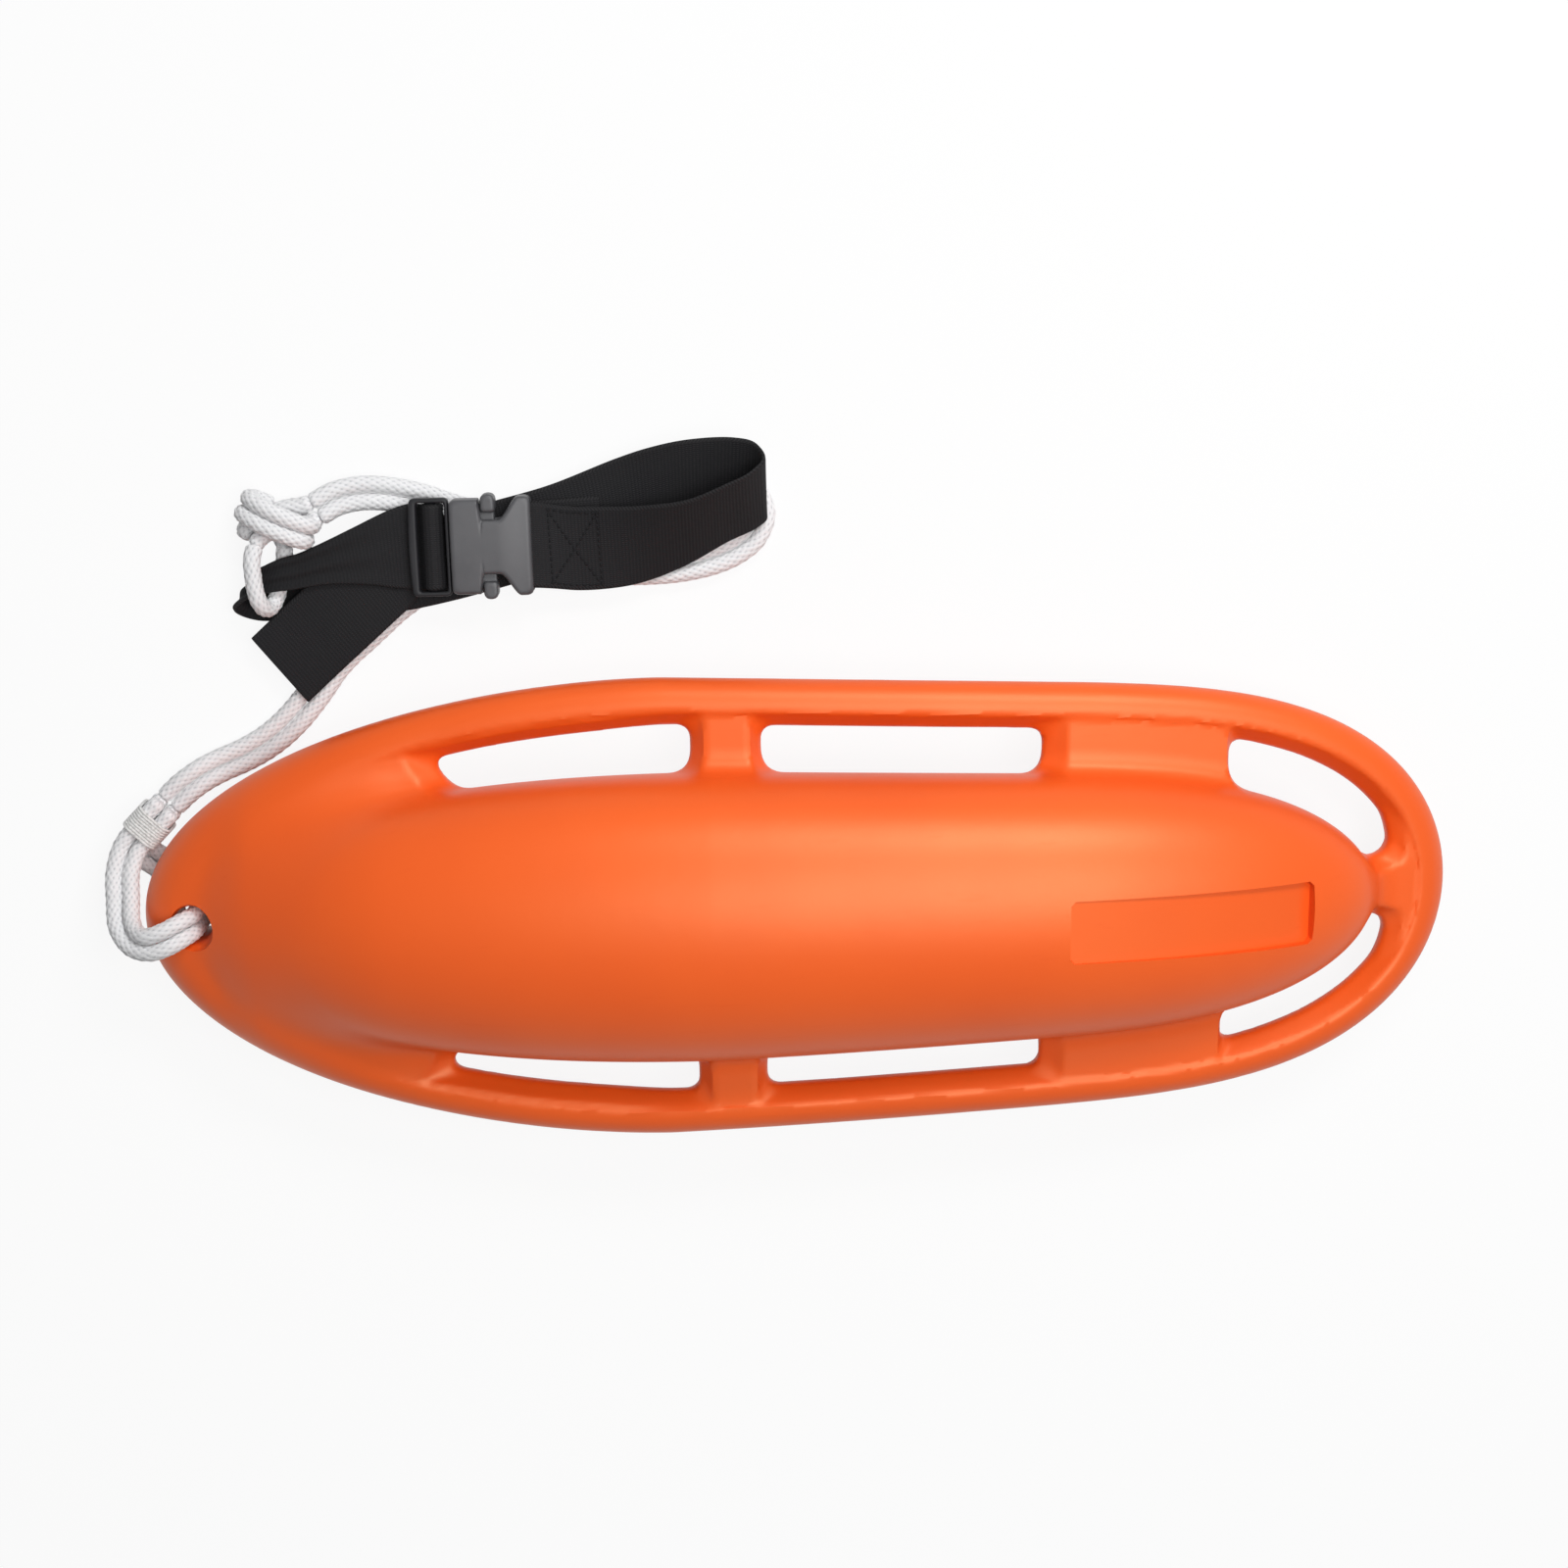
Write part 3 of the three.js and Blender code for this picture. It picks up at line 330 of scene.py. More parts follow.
def acetalPaint(name, color, worn, shine):
    a = acetal
    p = Paint(name, color, a["roughness"], Specular_IOR_Level=shine)
    place = p.coordinates()
    grain = p.noise(place, a["grain"], 2, 0.6)
    cloud = p.noise(place, a["cloud"], 3)
    rub = p.noise(p.stretched(place, a["rub"], a["rubTurn"]), 1, 3, 0.6).between(*a["rubRange"])
    tone = p.mix(cloud.between(*a["cloudRange"]) * a["cloudTone"] + rub * a["rubTone"], color, worn)
    rough = a["roughness"] + (cloud - 0.5) * a["cloudRough"] + grain * a["grainRough"] + rub * a["rubRough"]
    return p.use(Base_Color=tone, Roughness=rough, Normal=p.bump(grain, a["grainBump"], 0.5))


# Thread and twine.
threads = {"roughness": 0.6, "twistRange": (0.3, 0.65), "twistRough": 0.25, "twistBump": 0.0002}


def threadPaint(name, light, dark, scale, shine=0.5):
    t = threads
    p = Paint(name, light, t["roughness"], Specular_IOR_Level=shine)
    twist = p.noise(p.coordinates(), scale, 3, 0.6)
    tone = p.mix(twist.between(*t["twistRange"]), dark, light)
    return p.use(Base_Color=tone, Roughness=t["roughness"] + twist * t["twistRough"],
                 Normal=p.bump(twist, t["twistBump"], 0.7))


paints = {
    "shell": mouldedPaint("orangePolyethylene", (0.83, 0.102, 0.01), (0.755, 0.082, 0.008), 0.42, 0.00006),
    "vent": mouldedPaint("orangePlugPlastic", (0.74, 0.12, 0.02), (0.6, 0.09, 0.012), 0.5, 0.00006),
    "webbing": webbingPaint("blackWebbing", (0.017, 0.016, 0.017), (0.006, 0.006, 0.007)),
    "thread": threadPaint("blackThread", (0.012, 0.012, 0.013), (0.004, 0.004, 0.005), 900, 0.15),
    "twine": threadPaint("whiteTwine", (0.8, 0.8, 0.79), (0.55, 0.55, 0.54), 700),
    "buckle": acetalPaint("greyAcetal", (0.05, 0.05, 0.055), (0.085, 0.085, 0.09), 0.5),
    "plug": acetalPaint("blackAcetal", (0.012, 0.012, 0.014), (0.024, 0.024, 0.027), 0.22),
    "rope": ropePaint("whiteBraid", (0.93, 0.93, 0.94), (0.6, 0.6, 0.62)),
}


def dress(obj, paint, body=mainBody):
    obj.data.materials.clear()
    obj.data.materials.append(paint)
    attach(obj, body)
    return obj


# Ropes: 9 mm braid. Each row of the eye is x, y, z and the plan angle from one strand to the other.
rope = {"diameter": 9.0, "gap": 0.4, "strands": 8, "pitch": 44.0, "relief": 0.85, "sides": 48, "step": 0.9,
        "routeStep": 12.0, "ridge": 0.8, "under": 0.25, "level": 0.72, "endLength": 2.0, "endTaper": 0.3,
        "endLay": 0.2}
pairOffset = (rope["diameter"] + rope["gap"]) / 2
noseEyePoints = [
    (-347.4, 58.6, 20.8, 135), (-352, 54, 20.8, 135), (-358, 48, 20.8, 135), (-364, 42, 20.9, 137),
    (-369, 35, 22.5, 156), (-372, 24, 27.5, 175), (-371, 11, 36, 188), (-368.5, 0, 46.5, 207),
    (-362, -6.5, 55, 244), (-353, -7.5, 60.5, 276), (-343.5, -4.5, 61.5, 287), (-335.5, -1, 57.5, 278),
    (-331, 0, 48, 270), (-331, 0, 34, 270), (-331, 0, 21, 264), (-332.5, 1.4, 12.5, 250),
    (-338, 6.4, 6.2, 229), (-347, 14.2, 5, 229), (-356, 22, 5, 228), (-363.7, 28.9, 6, 219),
    (-366.8, 35.3, 8.8, 181), (-364, 42, 11.4, 140), (-358, 48, 11.4, 135), (-352, 54, 11.4, 135),
    (-347.4, 58.6, 11.4, 135),
]
towRoutePoints = [
    (-347.15, 58.85, 11.4), (-333.5, 70.6, 11.4), (-318, 78.4, 7), (-300.5, 85.6, 4.8), (-282.5, 98, 4.8),
    (-266.5, 115, 4.8), (-251.5, 134.5, 4.8), (-233.5, 150.5, 4.8), (-212, 168.5, 4.8), (-187, 181, 4.8),
    (-155, 186, 4.8), (-120, 185, 4.8), (-90, 182, 4.8), (-62, 183, 4.8), (-40, 188, 4.8), (-24, 197.5, 4.8),
    (-18.5, 210.5, 4.8), (-25, 223, 4.8), (-43, 228.5, 4.8), (-75, 224, 4.8), (-108, 216, 4.8),
    (-135, 210, 4.8), (-158, 209, 4.8), (-180, 214, 4.8), (-201, 221.5, 4.8), (-222, 226, 6.5),
    (-242, 225, 9.8), (-255.9, 218.4, 12.7),
]
beltEyePoints = [
    (-288.3, 200.9, 19.8), (-289.8, 193.5, 23), (-289.6, 185.5, 24), (-289, 178, 24.2), (-287.8, 171.6, 23),
    (-286, 167.2, 19.4), (-284, 166.2, 14.6), (-281.6, 169.4, 10), (-279, 176.4, 8.9), (-277, 184, 8.9),
    (-275.4, 191, 9), (-274.4, 199.2, 9.6),
]


def eyeStrand(side):
    rows = []
    for x, y, z, angle in noseEyePoints:
        turn = math.radians(angle)
        rows.append((x + side * pairOffset * math.cos(turn), y + side * pairOffset * math.sin(turn), z))
    return splineThrough(rows, rope["step"])


def towStrand(side):
    middle = splineThrough(towRoutePoints, rope["routeStep"])
    ahead = np.gradient(middle, axis=0)
    across = unit(np.stack([-ahead[:, 1], ahead[:, 0], np.zeros(len(ahead))], axis=1))
    return splineThrough(middle + side * pairOffset * across, rope["step"])


def framesAlong(path):
    ahead = unit(np.gradient(path, axis=0))
    across = np.zeros_like(ahead)
    first = np.cross(ahead[0], (0.0, 0.0, 1.0))
    across[0] = first / np.linalg.norm(first)
    for i in range(1, len(path)):
        step = across[i - 1] - ahead[i] * float(across[i - 1] @ ahead[i])
        across[i] = step / np.linalg.norm(step)
    return ahead, across, np.cross(ahead, across)


def braidHeight(along, turns, r):  # two sets of strands, each over the other in turn
    first = r["strands"] * (turns - along / r["pitch"])
    second = r["strands"] * (turns + along / r["pitch"])
    heights = []
    for one, other, sign in ((first, second, 1), (second, first, -1)):
        near = np.round(one)
        over = 0.5 + sign * 0.5 * np.cos(math.pi * (other + near))
        ridge = np.cos(math.pi * (one - near)) ** r["ridge"]
        heights.append(ridge * (r["under"] + (1 - r["under"]) * over))
    return np.maximum(*heights)


def braidedTube(paths, r):
    points, faces, uvs, lays, base = [], [], [], [], 0
    sides = r["sides"]
    turns = np.arange(sides) / sides
    for path in paths:
        _, across, over = framesAlong(path)
        along = marksAlong(path)
        height = braidHeight(along[:, None], turns[None, :], r)
        fromEnd = np.minimum(along, along[-1] - along)[:, None]
        close = 1 - r["endTaper"] * (1 - np.clip(fromEnd / r["endLength"], 0, 1)) ** 2
        radius = (r["diameter"] / 2 + r["relief"] * (height - r["level"])) * close
        turn = 2 * math.pi * turns
        ring = (path[:, None, :] + radius[:, :, None] * (np.cos(turn)[None, :, None] * across[:, None, :]
                + np.sin(turn)[None, :, None] * over[:, None, :]))
        count = len(path)
        points += [ring.reshape(-1, 3), path[[0, -1]]]
        lays += [height.ravel(), [r["endLay"]] * 2]
        i, j, _, quad = tubeQuads(count, sides)
        a, b, u, v = along[i], along[i + 1], turns[j], turns[j] + 1 / sides
        ends = ((a, u), (a, v), (b, v), (b, u))
        corner = np.stack([np.stack(end, -1) for end in ends], 2).reshape(-1, 2)
        j = np.arange(0, sides, 2)
        tips = count * sides
        start = np.stack([np.full(len(j), tips), (j + 2) % sides, (j + 1) % sides, j], -1)
        last = (count - 1) * sides + np.stack([j, (j + 1) % sides, (j + 2) % sides], -1)
        end = np.column_stack([np.full(len(j), tips + 1), last])
        faces += [quad + base, start + base, end + base]
        uvs += [corner, np.zeros((4 * len(start) + 4 * len(end), 2))]
        base += count * sides + 2
    return np.vstack(points), np.vstack(faces), np.vstack(uvs), np.concatenate(lays)


def ropePiece(name, paths, settings):
    points, faces, uvs, lays = braidedTube(paths, settings)
    obj = meshObject(name, points, faces, cornerUv=uvs)
    layer = obj.data.attributes.new("lay", "FLOAT", "POINT")
    layer.data.foreach_set("value", np.asarray(lays, np.float32))
    return dress(obj, paints["rope"])


ropePaths = {
    "rope_nose_eye_outer": eyeStrand(1),
    "rope_nose_eye_inner": eyeStrand(-1),
    "rope_leg_left": towStrand(1),
    "rope_leg_right": towStrand(-1),
    "rope_belt_eye": splineThrough(beltEyePoints, rope["step"]),
}
for node, path in ropePaths.items():
    name = "".join(word.capitalize() for word in node.split("_"))
    name = name[0].lower() + name[1:]
    ropePiece(name, [path], rope)
    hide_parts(node)
    print(name, "length", round(pathLength(path)), "mm")


# Can shell: one moulded body, a rail all round, drafted slots, flat pads, a nose hole and a label recess.
shell = {
    # outline from above, and the rail's plane, which drops towards both ends
    "halfLength": 360.0, "halfWidth": 129.5, "widestX": -75.0, "nosePower": 1.87, "tailTaper": 0.14,
    "tailTaperPower": 1.1, "tailRoundStart": 110.0, "tailPower": 3.7, "railPlane": 49.97, "endDrop": 18.0,
    # the rail's section; every fade is a start on x and a length
    "railWidth": 25.0, "railSpread": 2.0, "spreadFade": (-60, -60), "railHalf": 12.5, "edgeWidth": 16.0,
    "noseHalf": 20.0, "noseEdgeWidth": 24.0, "noseFade": (-185, -115),
    "padDrop": 1.5, "padStep": 2.0, "padFade": (-205, -30),
    # slots: low and high end on x, their drafts, and the slant of the low end
    "slots": ((-195.0, -59.0, 13.0, 9.0, 0.45), (-21.0, 131.0, 7.5, 15.0, 0.0),
              (234.0, 327.0, 3.0, 9.0, 0.0)),
    "slantY": 84.0, "wallDraft": 9.0, "wallLand": 2.6, "edgeRound": 1.2,
    "cornerRound": 8.0, "mitreRound": 2.0, "mitreReach": 1.6,
    "neckFrom": 200, "neckHalf": 15.0, "neckDraft": 9.5, "neckX": 316.0, "neckSpread": 0.42,
    # the fillet between body and rail, fuller near the nose and at the neck
    "blend": 13.0, "noseBlend": 14, "noseBlendFade": (-175, -110), "tipFade": (-296, -30),
    "neckBlend": 3.0, "neckFade": (280, 35), "steepLeast": 12.0, "footRound": 2.0,
    "low": (-366, -135, -5), "high": (366, 135, 125), "grid": 2.3, "sharp": 32,
}
core = {
    "halfWidth": 79.5, "widestX": -50.0, "noseX": -338.0, "tailX": 315.0, "nosePower": 2.35,
    "tailTaper": 0.17, "tailTaperPower": 1.1, "tailRoundStart": 120.0, "tailPower": 3.0, "front": 0.68,
    "back": 0.855, "backSlope": 0.08, "lift": 16.0, "liftFade": (-338.0, 120.0), "noseLift": 0.25,
}
edgeGrid = {"low": (-372.0, -4.0), "high": (372.1, 142.1), "step": 2.0, "most": 44.0, "samples": 2400,
            "batch": 2000}


def outlineWidth(x):
    s = shell
    nose = np.clip((s["widestX"] - x) / (s["halfLength"] + s["widestX"]), 0, 1)
    tail = np.clip((x - s["widestX"]) / (s["halfLength"] - s["widestX"]), 0, 1)
    corner = np.clip((x - s["tailRoundStart"]) / (s["halfLength"] - s["tailRoundStart"]), 0, 1)
    taper = 1 - s["tailTaper"] * tail ** s["tailTaperPower"]
    rounded = np.sqrt(1 - nose ** s["nosePower"])
    return s["halfWidth"] * taper * rounded * np.sqrt(1 - corner ** s["tailPower"])


def coreWidthSquared(x):
    c = core
    nose = np.clip((c["widestX"] - x) / (c["widestX"] - c["noseX"]), 0, None)
    tail = np.clip((x - c["widestX"]) / (c["tailX"] - c["widestX"]), 0, None)
    corner = np.clip((x - c["tailRoundStart"]) / (c["tailX"] - c["tailRoundStart"]), 0, None)
    taper = 1 - c["tailTaper"] * tail ** c["tailTaperPower"]
    return c["halfWidth"] ** 2 * taper ** 2 * (1 - nose ** c["nosePower"]) * (1 - corner ** c["tailPower"])


def railHeight(x):
    return shell["railPlane"] - shell["endDrop"] * (x / shell["halfLength"]) ** 2


def coreCentre(x):
    least = core["noseLift"]
    return railHeight(x) + core["lift"] * (least + (1 - least) * fade(x, *core["liftFade"]))


def distanceTable(g):  # how far each point of a plan grid lies inside the can's outline
    along = np.linspace(-math.pi / 2, math.pi / 2, g["samples"])
    x = shell["halfLength"] * np.sin(along)
    edge = np.stack([x, outlineWidth(x)], 1)
    edge[[0, -1], 1] = 0
    lines = [np.arange(low, high, g["step"]) for low, high in zip(g["low"], g["high"])]
    grid = np.stack(np.meshgrid(*lines, indexing="ij"), -1)
    flat = grid.reshape(-1, 2)
    dist = np.empty(len(flat))
    for start in range(0, len(flat), g["batch"]):
        some = slice(start, start + g["batch"])
        q = np.stack([flat[some, 0], np.abs(flat[some, 1])], 1)
        near = np.argmin(((q[:, None, :] - edge[None]) ** 2).sum(-1), axis=1)
        best = np.full(len(q), 1e9)
        for first in (np.clip(near - 1, 0, len(edge) - 2), np.clip(near, 0, len(edge) - 2)):
            a, b = edge[first], edge[first + 1]
            share = np.clip(((q - a) * (b - a)).sum(1) / ((b - a) ** 2).sum(1), 0, 1)
            best = np.minimum(best, np.linalg.norm(q - a - share[:, None] * (b - a), axis=1))
        inside = (np.abs(q[:, 0]) < shell["halfLength"]) & (q[:, 1] < outlineWidth(q[:, 0]))
        dist[some] = np.where(inside, best, -best)
    return np.clip(dist.reshape(grid.shape[:2]), -g["most"], g["most"])


edgeTable = distanceTable(edgeGrid)


def edgeDistance(x, y):  # the table read with cubic weights
    (x0, y0), step = edgeGrid["low"], edgeGrid["step"]
    u, v = (x - x0) / step, (np.abs(y) - y0) / step
    i = np.clip(np.floor(u).astype(int), 1, edgeTable.shape[0] - 3)
    j = np.clip(np.floor(v).astype(int), 1, edgeTable.shape[1] - 3)
    a, b = np.clip(u - i, 0, 1), np.clip(v - j, 0, 1)

    def weights(t):
        return (-0.5 * t + t * t - 0.5 * t ** 3, 1 - 2.5 * t * t + 1.5 * t ** 3,
                0.5 * t + 2 * t * t - 1.5 * t ** 3, -0.5 * t * t + 0.5 * t ** 3)

    total = 0
    for m, wx in enumerate(weights(a)):
        row = 0
        for n, wy in enumerate(weights(b)):
            row = row + wy * edgeTable[i + m - 1, j + n - 1]
        total = total + wx * row
    return total


def softMin(a, b, width):  # the lesser value, rounded over a width in millimetres
    share = np.clip(width - np.abs(a - b), 0, None) / width
    return np.minimum(a, b) - share * share * width / 4


def softMax(a, b, width):
    return -softMin(-a, -b, width)


def canField(p):
    x, y, z = p[..., 0], p[..., 1], p[..., 2]
    s, c = shell, core
    # the body
    slope = coreWidthSquared(x + 0.5) - coreWidthSquared(x - 0.5)
    up = z - coreCentre(x)
    depth = np.where(up > 0, c["front"], c["back"] * (1 + c["backSlope"] * x / s["halfLength"]))
    value = y * y + (up / depth) ** 2 - coreWidthSquared(x)
    steep = np.sqrt(slope ** 2 + 4 * y * y + 4 * (up / depth ** 2) ** 2)
    body = value / np.maximum(steep, s["steepLeast"])
    # the rail and the pads
    level = np.abs(z - railHeight(x))
    inward = edgeDistance(x, y)
    toNose = fade(x, *s["noseFade"])
    thick = s["railHalf"] + (s["noseHalf"] - s["railHalf"]) * toNose
    inner = thick - s["padDrop"] * fade(inward, s["edgeWidth"], s["padStep"]) * (1 - fade(x, *s["padFade"]))
    edge = s["edgeWidth"] + (s["noseEdgeWidth"] - s["edgeWidth"]) * toNose
    lack = np.clip(1 - inward / edge, 0, None)
    radius = np.sqrt((level / thick) ** 2 + lack ** 2)
    gradient = np.sqrt((level / thick ** 2) ** 2 + (lack / edge) ** 2)
    rounded = (radius - 1) * radius / np.maximum(gradient, 1e-3)
    flange = softMax(np.where(inward > edge, level - thick, rounded), level - inner, 1.0)
    # the slots' drafted walls, each with an upright land half way down
    def wall(depthInto, draft):
        rise = (s["railHalf"] - s["wallLand"]) / draft
        slanted = (level - s["wallLand"] - rise * depthInto) / np.sqrt(1 + rise * rise)
        return softMax(slanted, -depthInto, s["edgeRound"])

    reach = s["mitreReach"]
    corner = smoothShare(reach - reach * level / s["railHalf"])
    corner = s["mitreRound"] + (s["cornerRound"] - s["mitreRound"]) * corner
    rail = s["railWidth"] + s["railSpread"] * fade(x, *s["spreadFade"])
    neck = s["neckHalf"] + s["neckSpread"] * np.clip(x - s["neckX"], 0, None)
    for low, top, draftLow, draftTop, slant in s["slots"]:
        start = (low + slant * (s["slantY"] - np.abs(y)) - x) / math.sqrt(1 + slant ** 2)
        solid = softMin(wall(start, draftLow), wall(x - top, draftTop), 0.5)
        solid = softMin(solid, wall(rail - inward, s["wallDraft"]), corner)
        if low > s["neckFrom"]:
            solid = softMin(solid, wall(neck - np.abs(y), s["neckDraft"]), corner)
        flange = softMax(flange, solid, 0.8)
    blend = s["blend"] + s["noseBlend"] * fade(x, *s["noseBlendFade"]) * (1 - fade(x, *s["tipFade"]))
    blend = blend + s["neckBlend"] * fade(x, *s["neckFade"])
    return softMax(softMin(body, flange, blend), -z, s["footRound"])


def surfaceNet(field, low, high, step):  # one point in each grid cell that the surface passes through
    axes = [np.arange(a, b + step, step) for a, b in zip(low, high)]
    values = np.empty([len(a) for a in axes], np.float32)
    yy, zz = np.meshgrid(axes[1], axes[2], indexing="ij")
    for i, x in enumerate(axes[0]):
        values[i] = field(np.stack([np.full_like(yy, x), yy, zz], -1))
    nx, ny, nz = values.shape
    total = np.zeros((nx - 1, ny - 1, nz - 1, 3), np.float32)
    count = np.zeros((nx - 1, ny - 1, nz - 1), np.int16)
    edges = []
    for axis in range(3):
        first = [slice(None)] * 3
        second = [slice(None)] * 3
        first[axis], second[axis] = slice(0, -1), slice(1, None)
        a, b = values[tuple(first)], values[tuple(second)]
        spot = np.argwhere((a < 0) != (b < 0))
        va, vb = a[tuple(spot.T)], b[tuple(spot.T)]
        place = spot.astype(np.float32)
        place[:, axis] += va / (va - vb)
        sides = [k for k in range(3) if k != axis]
        inner = np.all([(spot[:, k] > 0) & (spot[:, k] < values.shape[k] - 1) for k in sides], axis=0)
        for da in (0, 1):
            for db in (0, 1):
                cell = spot.copy()
                cell[:, sides[0]] -= da
                cell[:, sides[1]] -= db
                ok = np.all((cell >= 0) & (cell < np.array(count.shape)), axis=1)
                np.add.at(total, tuple(cell[ok].T), place[ok])
                np.add.at(count, tuple(cell[ok].T), 1)
        edges.append((axis, sides, spot[inner], (va < 0)[inner]))
    used = count > 0
    number = np.full(count.shape, -1)
    number[used] = np.arange(used.sum())
    points = total[used] / count[used][:, None] * step + np.array(low)
    faces = []
    for axis, sides, spot, outward in edges:
        ring = []
        for da, db in ((1, 1), (0, 1), (0, 0), (1, 0)):
            cell = spot.copy()
            cell[:, sides[0]] -= da
            cell[:, sides[1]] -= db
            ring.append(number[tuple(cell.T)])
        quad = np.stack(ring, 1)
        turned = outward if axis != 1 else ~outward
        quad[~turned] = quad[~turned][:, ::-1]
        faces.append(quad)
    return points.astype(float), np.vstack(faces)


def pullToSurface(field, points, rounds=3, reach=0.05, most=1.2):
    for _ in range(rounds):
        value = field(points)
        slope = np.stack([field(points + d) - field(points - d) for d in np.eye(3) * reach], -1) / (2 * reach)
        size = (slope ** 2).sum(-1)
        points = points - np.clip(value / np.maximum(size, 0.1), -most, most)[:, None] * slope
    return points


def latheObject(name, place, profile, sides=72):
    turn = 2 * math.pi * np.arange(sides) / sides
    rings = [np.stack([place[0] + r * np.cos(turn), place[1] + r * np.sin(turn), np.full(sides, z)], 1)
             for z, r in profile]
    obj = meshObject(name, np.vstack(rings), tubeQuads(len(profile), sides)[3])
    pointFacesOut(obj, closeHoles=True)
    return obj


def cutWith(obj, cutters):
    for cutter in cutters:
        change = obj.modifiers.new("cut", "BOOLEAN")
        change.operation, change.solver, change.object = "DIFFERENCE", "MANIFOLD", cutter
    settle(obj)
    for cutter in cutters:
        bpy.data.objects.remove(cutter)


label = {"length": 133.0, "width": 34.0, "centreX": 204.0, "leftDepth": 0.9, "rightDepth": 4.2, "corner": 2.5,
         "rightDraft": 0.3, "draft": 0.15, "height": 9.0, "columns": 60}


def labelCutter():
    n = label["columns"]
    share = np.linspace(0, 1, n)
    x = label["centreX"] + label["length"] * (share - 0.5)
    fromEnd = np.minimum(share, 1 - share) * label["length"]
    turned = np.clip(1 - fromEnd / label["corner"], 0, 1)
    half = label["width"] / 2 - label["corner"] * (1 - np.sqrt(1 - turned ** 2))
    edgeTop = coreCentre(x) + core["front"] * np.sqrt(coreWidthSquared(x) - (label["width"] / 2) ** 2)
    floor = edgeTop - label["leftDepth"] - (label["rightDepth"] - label["leftDepth"]) * share
    h = label["height"]
    topX = x + h * (label["rightDraft"] * share - label["draft"] * (1 - share))
    topHalf = half + h * label["draft"]
    points = np.vstack([np.stack([x, -half, floor], 1), np.stack([x, half, floor], 1),
                        np.stack([topX, topHalf, floor + h], 1), np.stack([topX, -topHalf, floor + h], 1)])
    faces = []
    for i in range(n - 1):
        for a in range(4):
            b = (a + 1) % 4
            faces.append((a * n + i, b * n + i, b * n + i + 1, a * n + i + 1))
    faces += [(3 * n, 2 * n, n, 0), (n - 1, 2 * n - 1, 3 * n - 1, 4 * n - 1)]
    obj = meshObject("labelCutter", points, faces)
    pointFacesOut(obj)
    return obj


# The flare's rows are a height from the rail's plane and how much wider the hole is there.
noseHole = {"x": -331.0, "radius": 10.5, "flare": ((14, 0), (17, 0.5), (19.5, 1.6), (21.5, 2.8), (40, 3.4))}
ventHole = {"x": 214.0, "below": 3.0, "headRadius": 10.5, "headDepth": 3.9, "shankRadius": 5.9, "depth": 12.0}


def buildShell():
    points, faces = surfaceNet(canField, shell["low"], shell["high"], shell["grid"])
    obj = meshObject("canShell", pullToSurface(canField, points), faces)
    rail = float(railHeight(noseHole["x"]))
    profile = [(rail - up, noseHole["radius"] + more) for up, more in reversed(noseHole["flare"])]
    profile += [(rail + up, noseHole["radius"] + more) for up, more in noseHole["flare"]]
    hole = latheObject("noseCutter", (noseHole["x"], 0), profile)
    v = ventHole
    vent = latheObject("ventCutter", (v["x"], 0), [
        (-v["below"], v["headRadius"]), (v["headDepth"], v["headRadius"]), (v["headDepth"], v["shankRadius"]),
        (v["depth"], v["shankRadius"])])
    cutWith(obj, [hole, vent, labelCutter()])
    obj.data.set_sharp_from_angle(angle=math.radians(shell["sharp"]))
    return obj


canShell = dress(buildShell(), paints["shell"])
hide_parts("can_shell")
print("can shell", len(canShell.data.polygons), "faces")


# Knot: two wraps of the doubled rope over a core of the strands that enter it.
knot = dict(rope, pitch=40.0, relief=1.0)
knotStrands = [
    [(-269, 204.5, 7), (-262.3, 202.4, 12), (-263, 202.8, 18.6), (-270, 205.8, 23), (-279, 210, 24.4),
     (-287.8, 214.4, 22.2), (-294.2, 217.8, 15.6), (-292.6, 217, 8), (-284, 213, 6)],
    [(-265, 213, 7), (-258.2, 210.4, 12), (-259, 210.8, 18.6), (-266, 213.8, 23.2), (-275, 218, 24.6),
     (-283.8, 222.4, 22.2), (-290.2, 225.8, 15.6), (-288.6, 225, 8), (-280, 221, 6)],
    [(-253.9, 214.3, 12.7), (-259, 212, 12.4), (-267, 209.6, 12), (-276, 209, 13)],
    [(-257.9, 222.6, 12.7), (-263, 221, 12), (-271, 219.8, 10.6), (-279, 218, 10)],
    [(-272, 211, 14), (-280, 207.8, 16), (-285.4, 204.6, 18.2), (-288.4, 200.8, 19.9)],
    [(-282, 212, 10), (-279.4, 207.4, 8.2), (-276, 203.4, 8.8), (-274.4, 199, 9.6)],
    [(-266, 222, 7), (-275, 215, 6.6), (-285, 207.6, 7.6), (-294.2, 207.8, 12), (-290.6, 213.6, 15.6)],
]
knotPiece = ropePiece("ropeKnot", [splineThrough(rows, knot["step"]) for rows in knotStrands], knot)
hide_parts("rope_knot")
print("knot done")


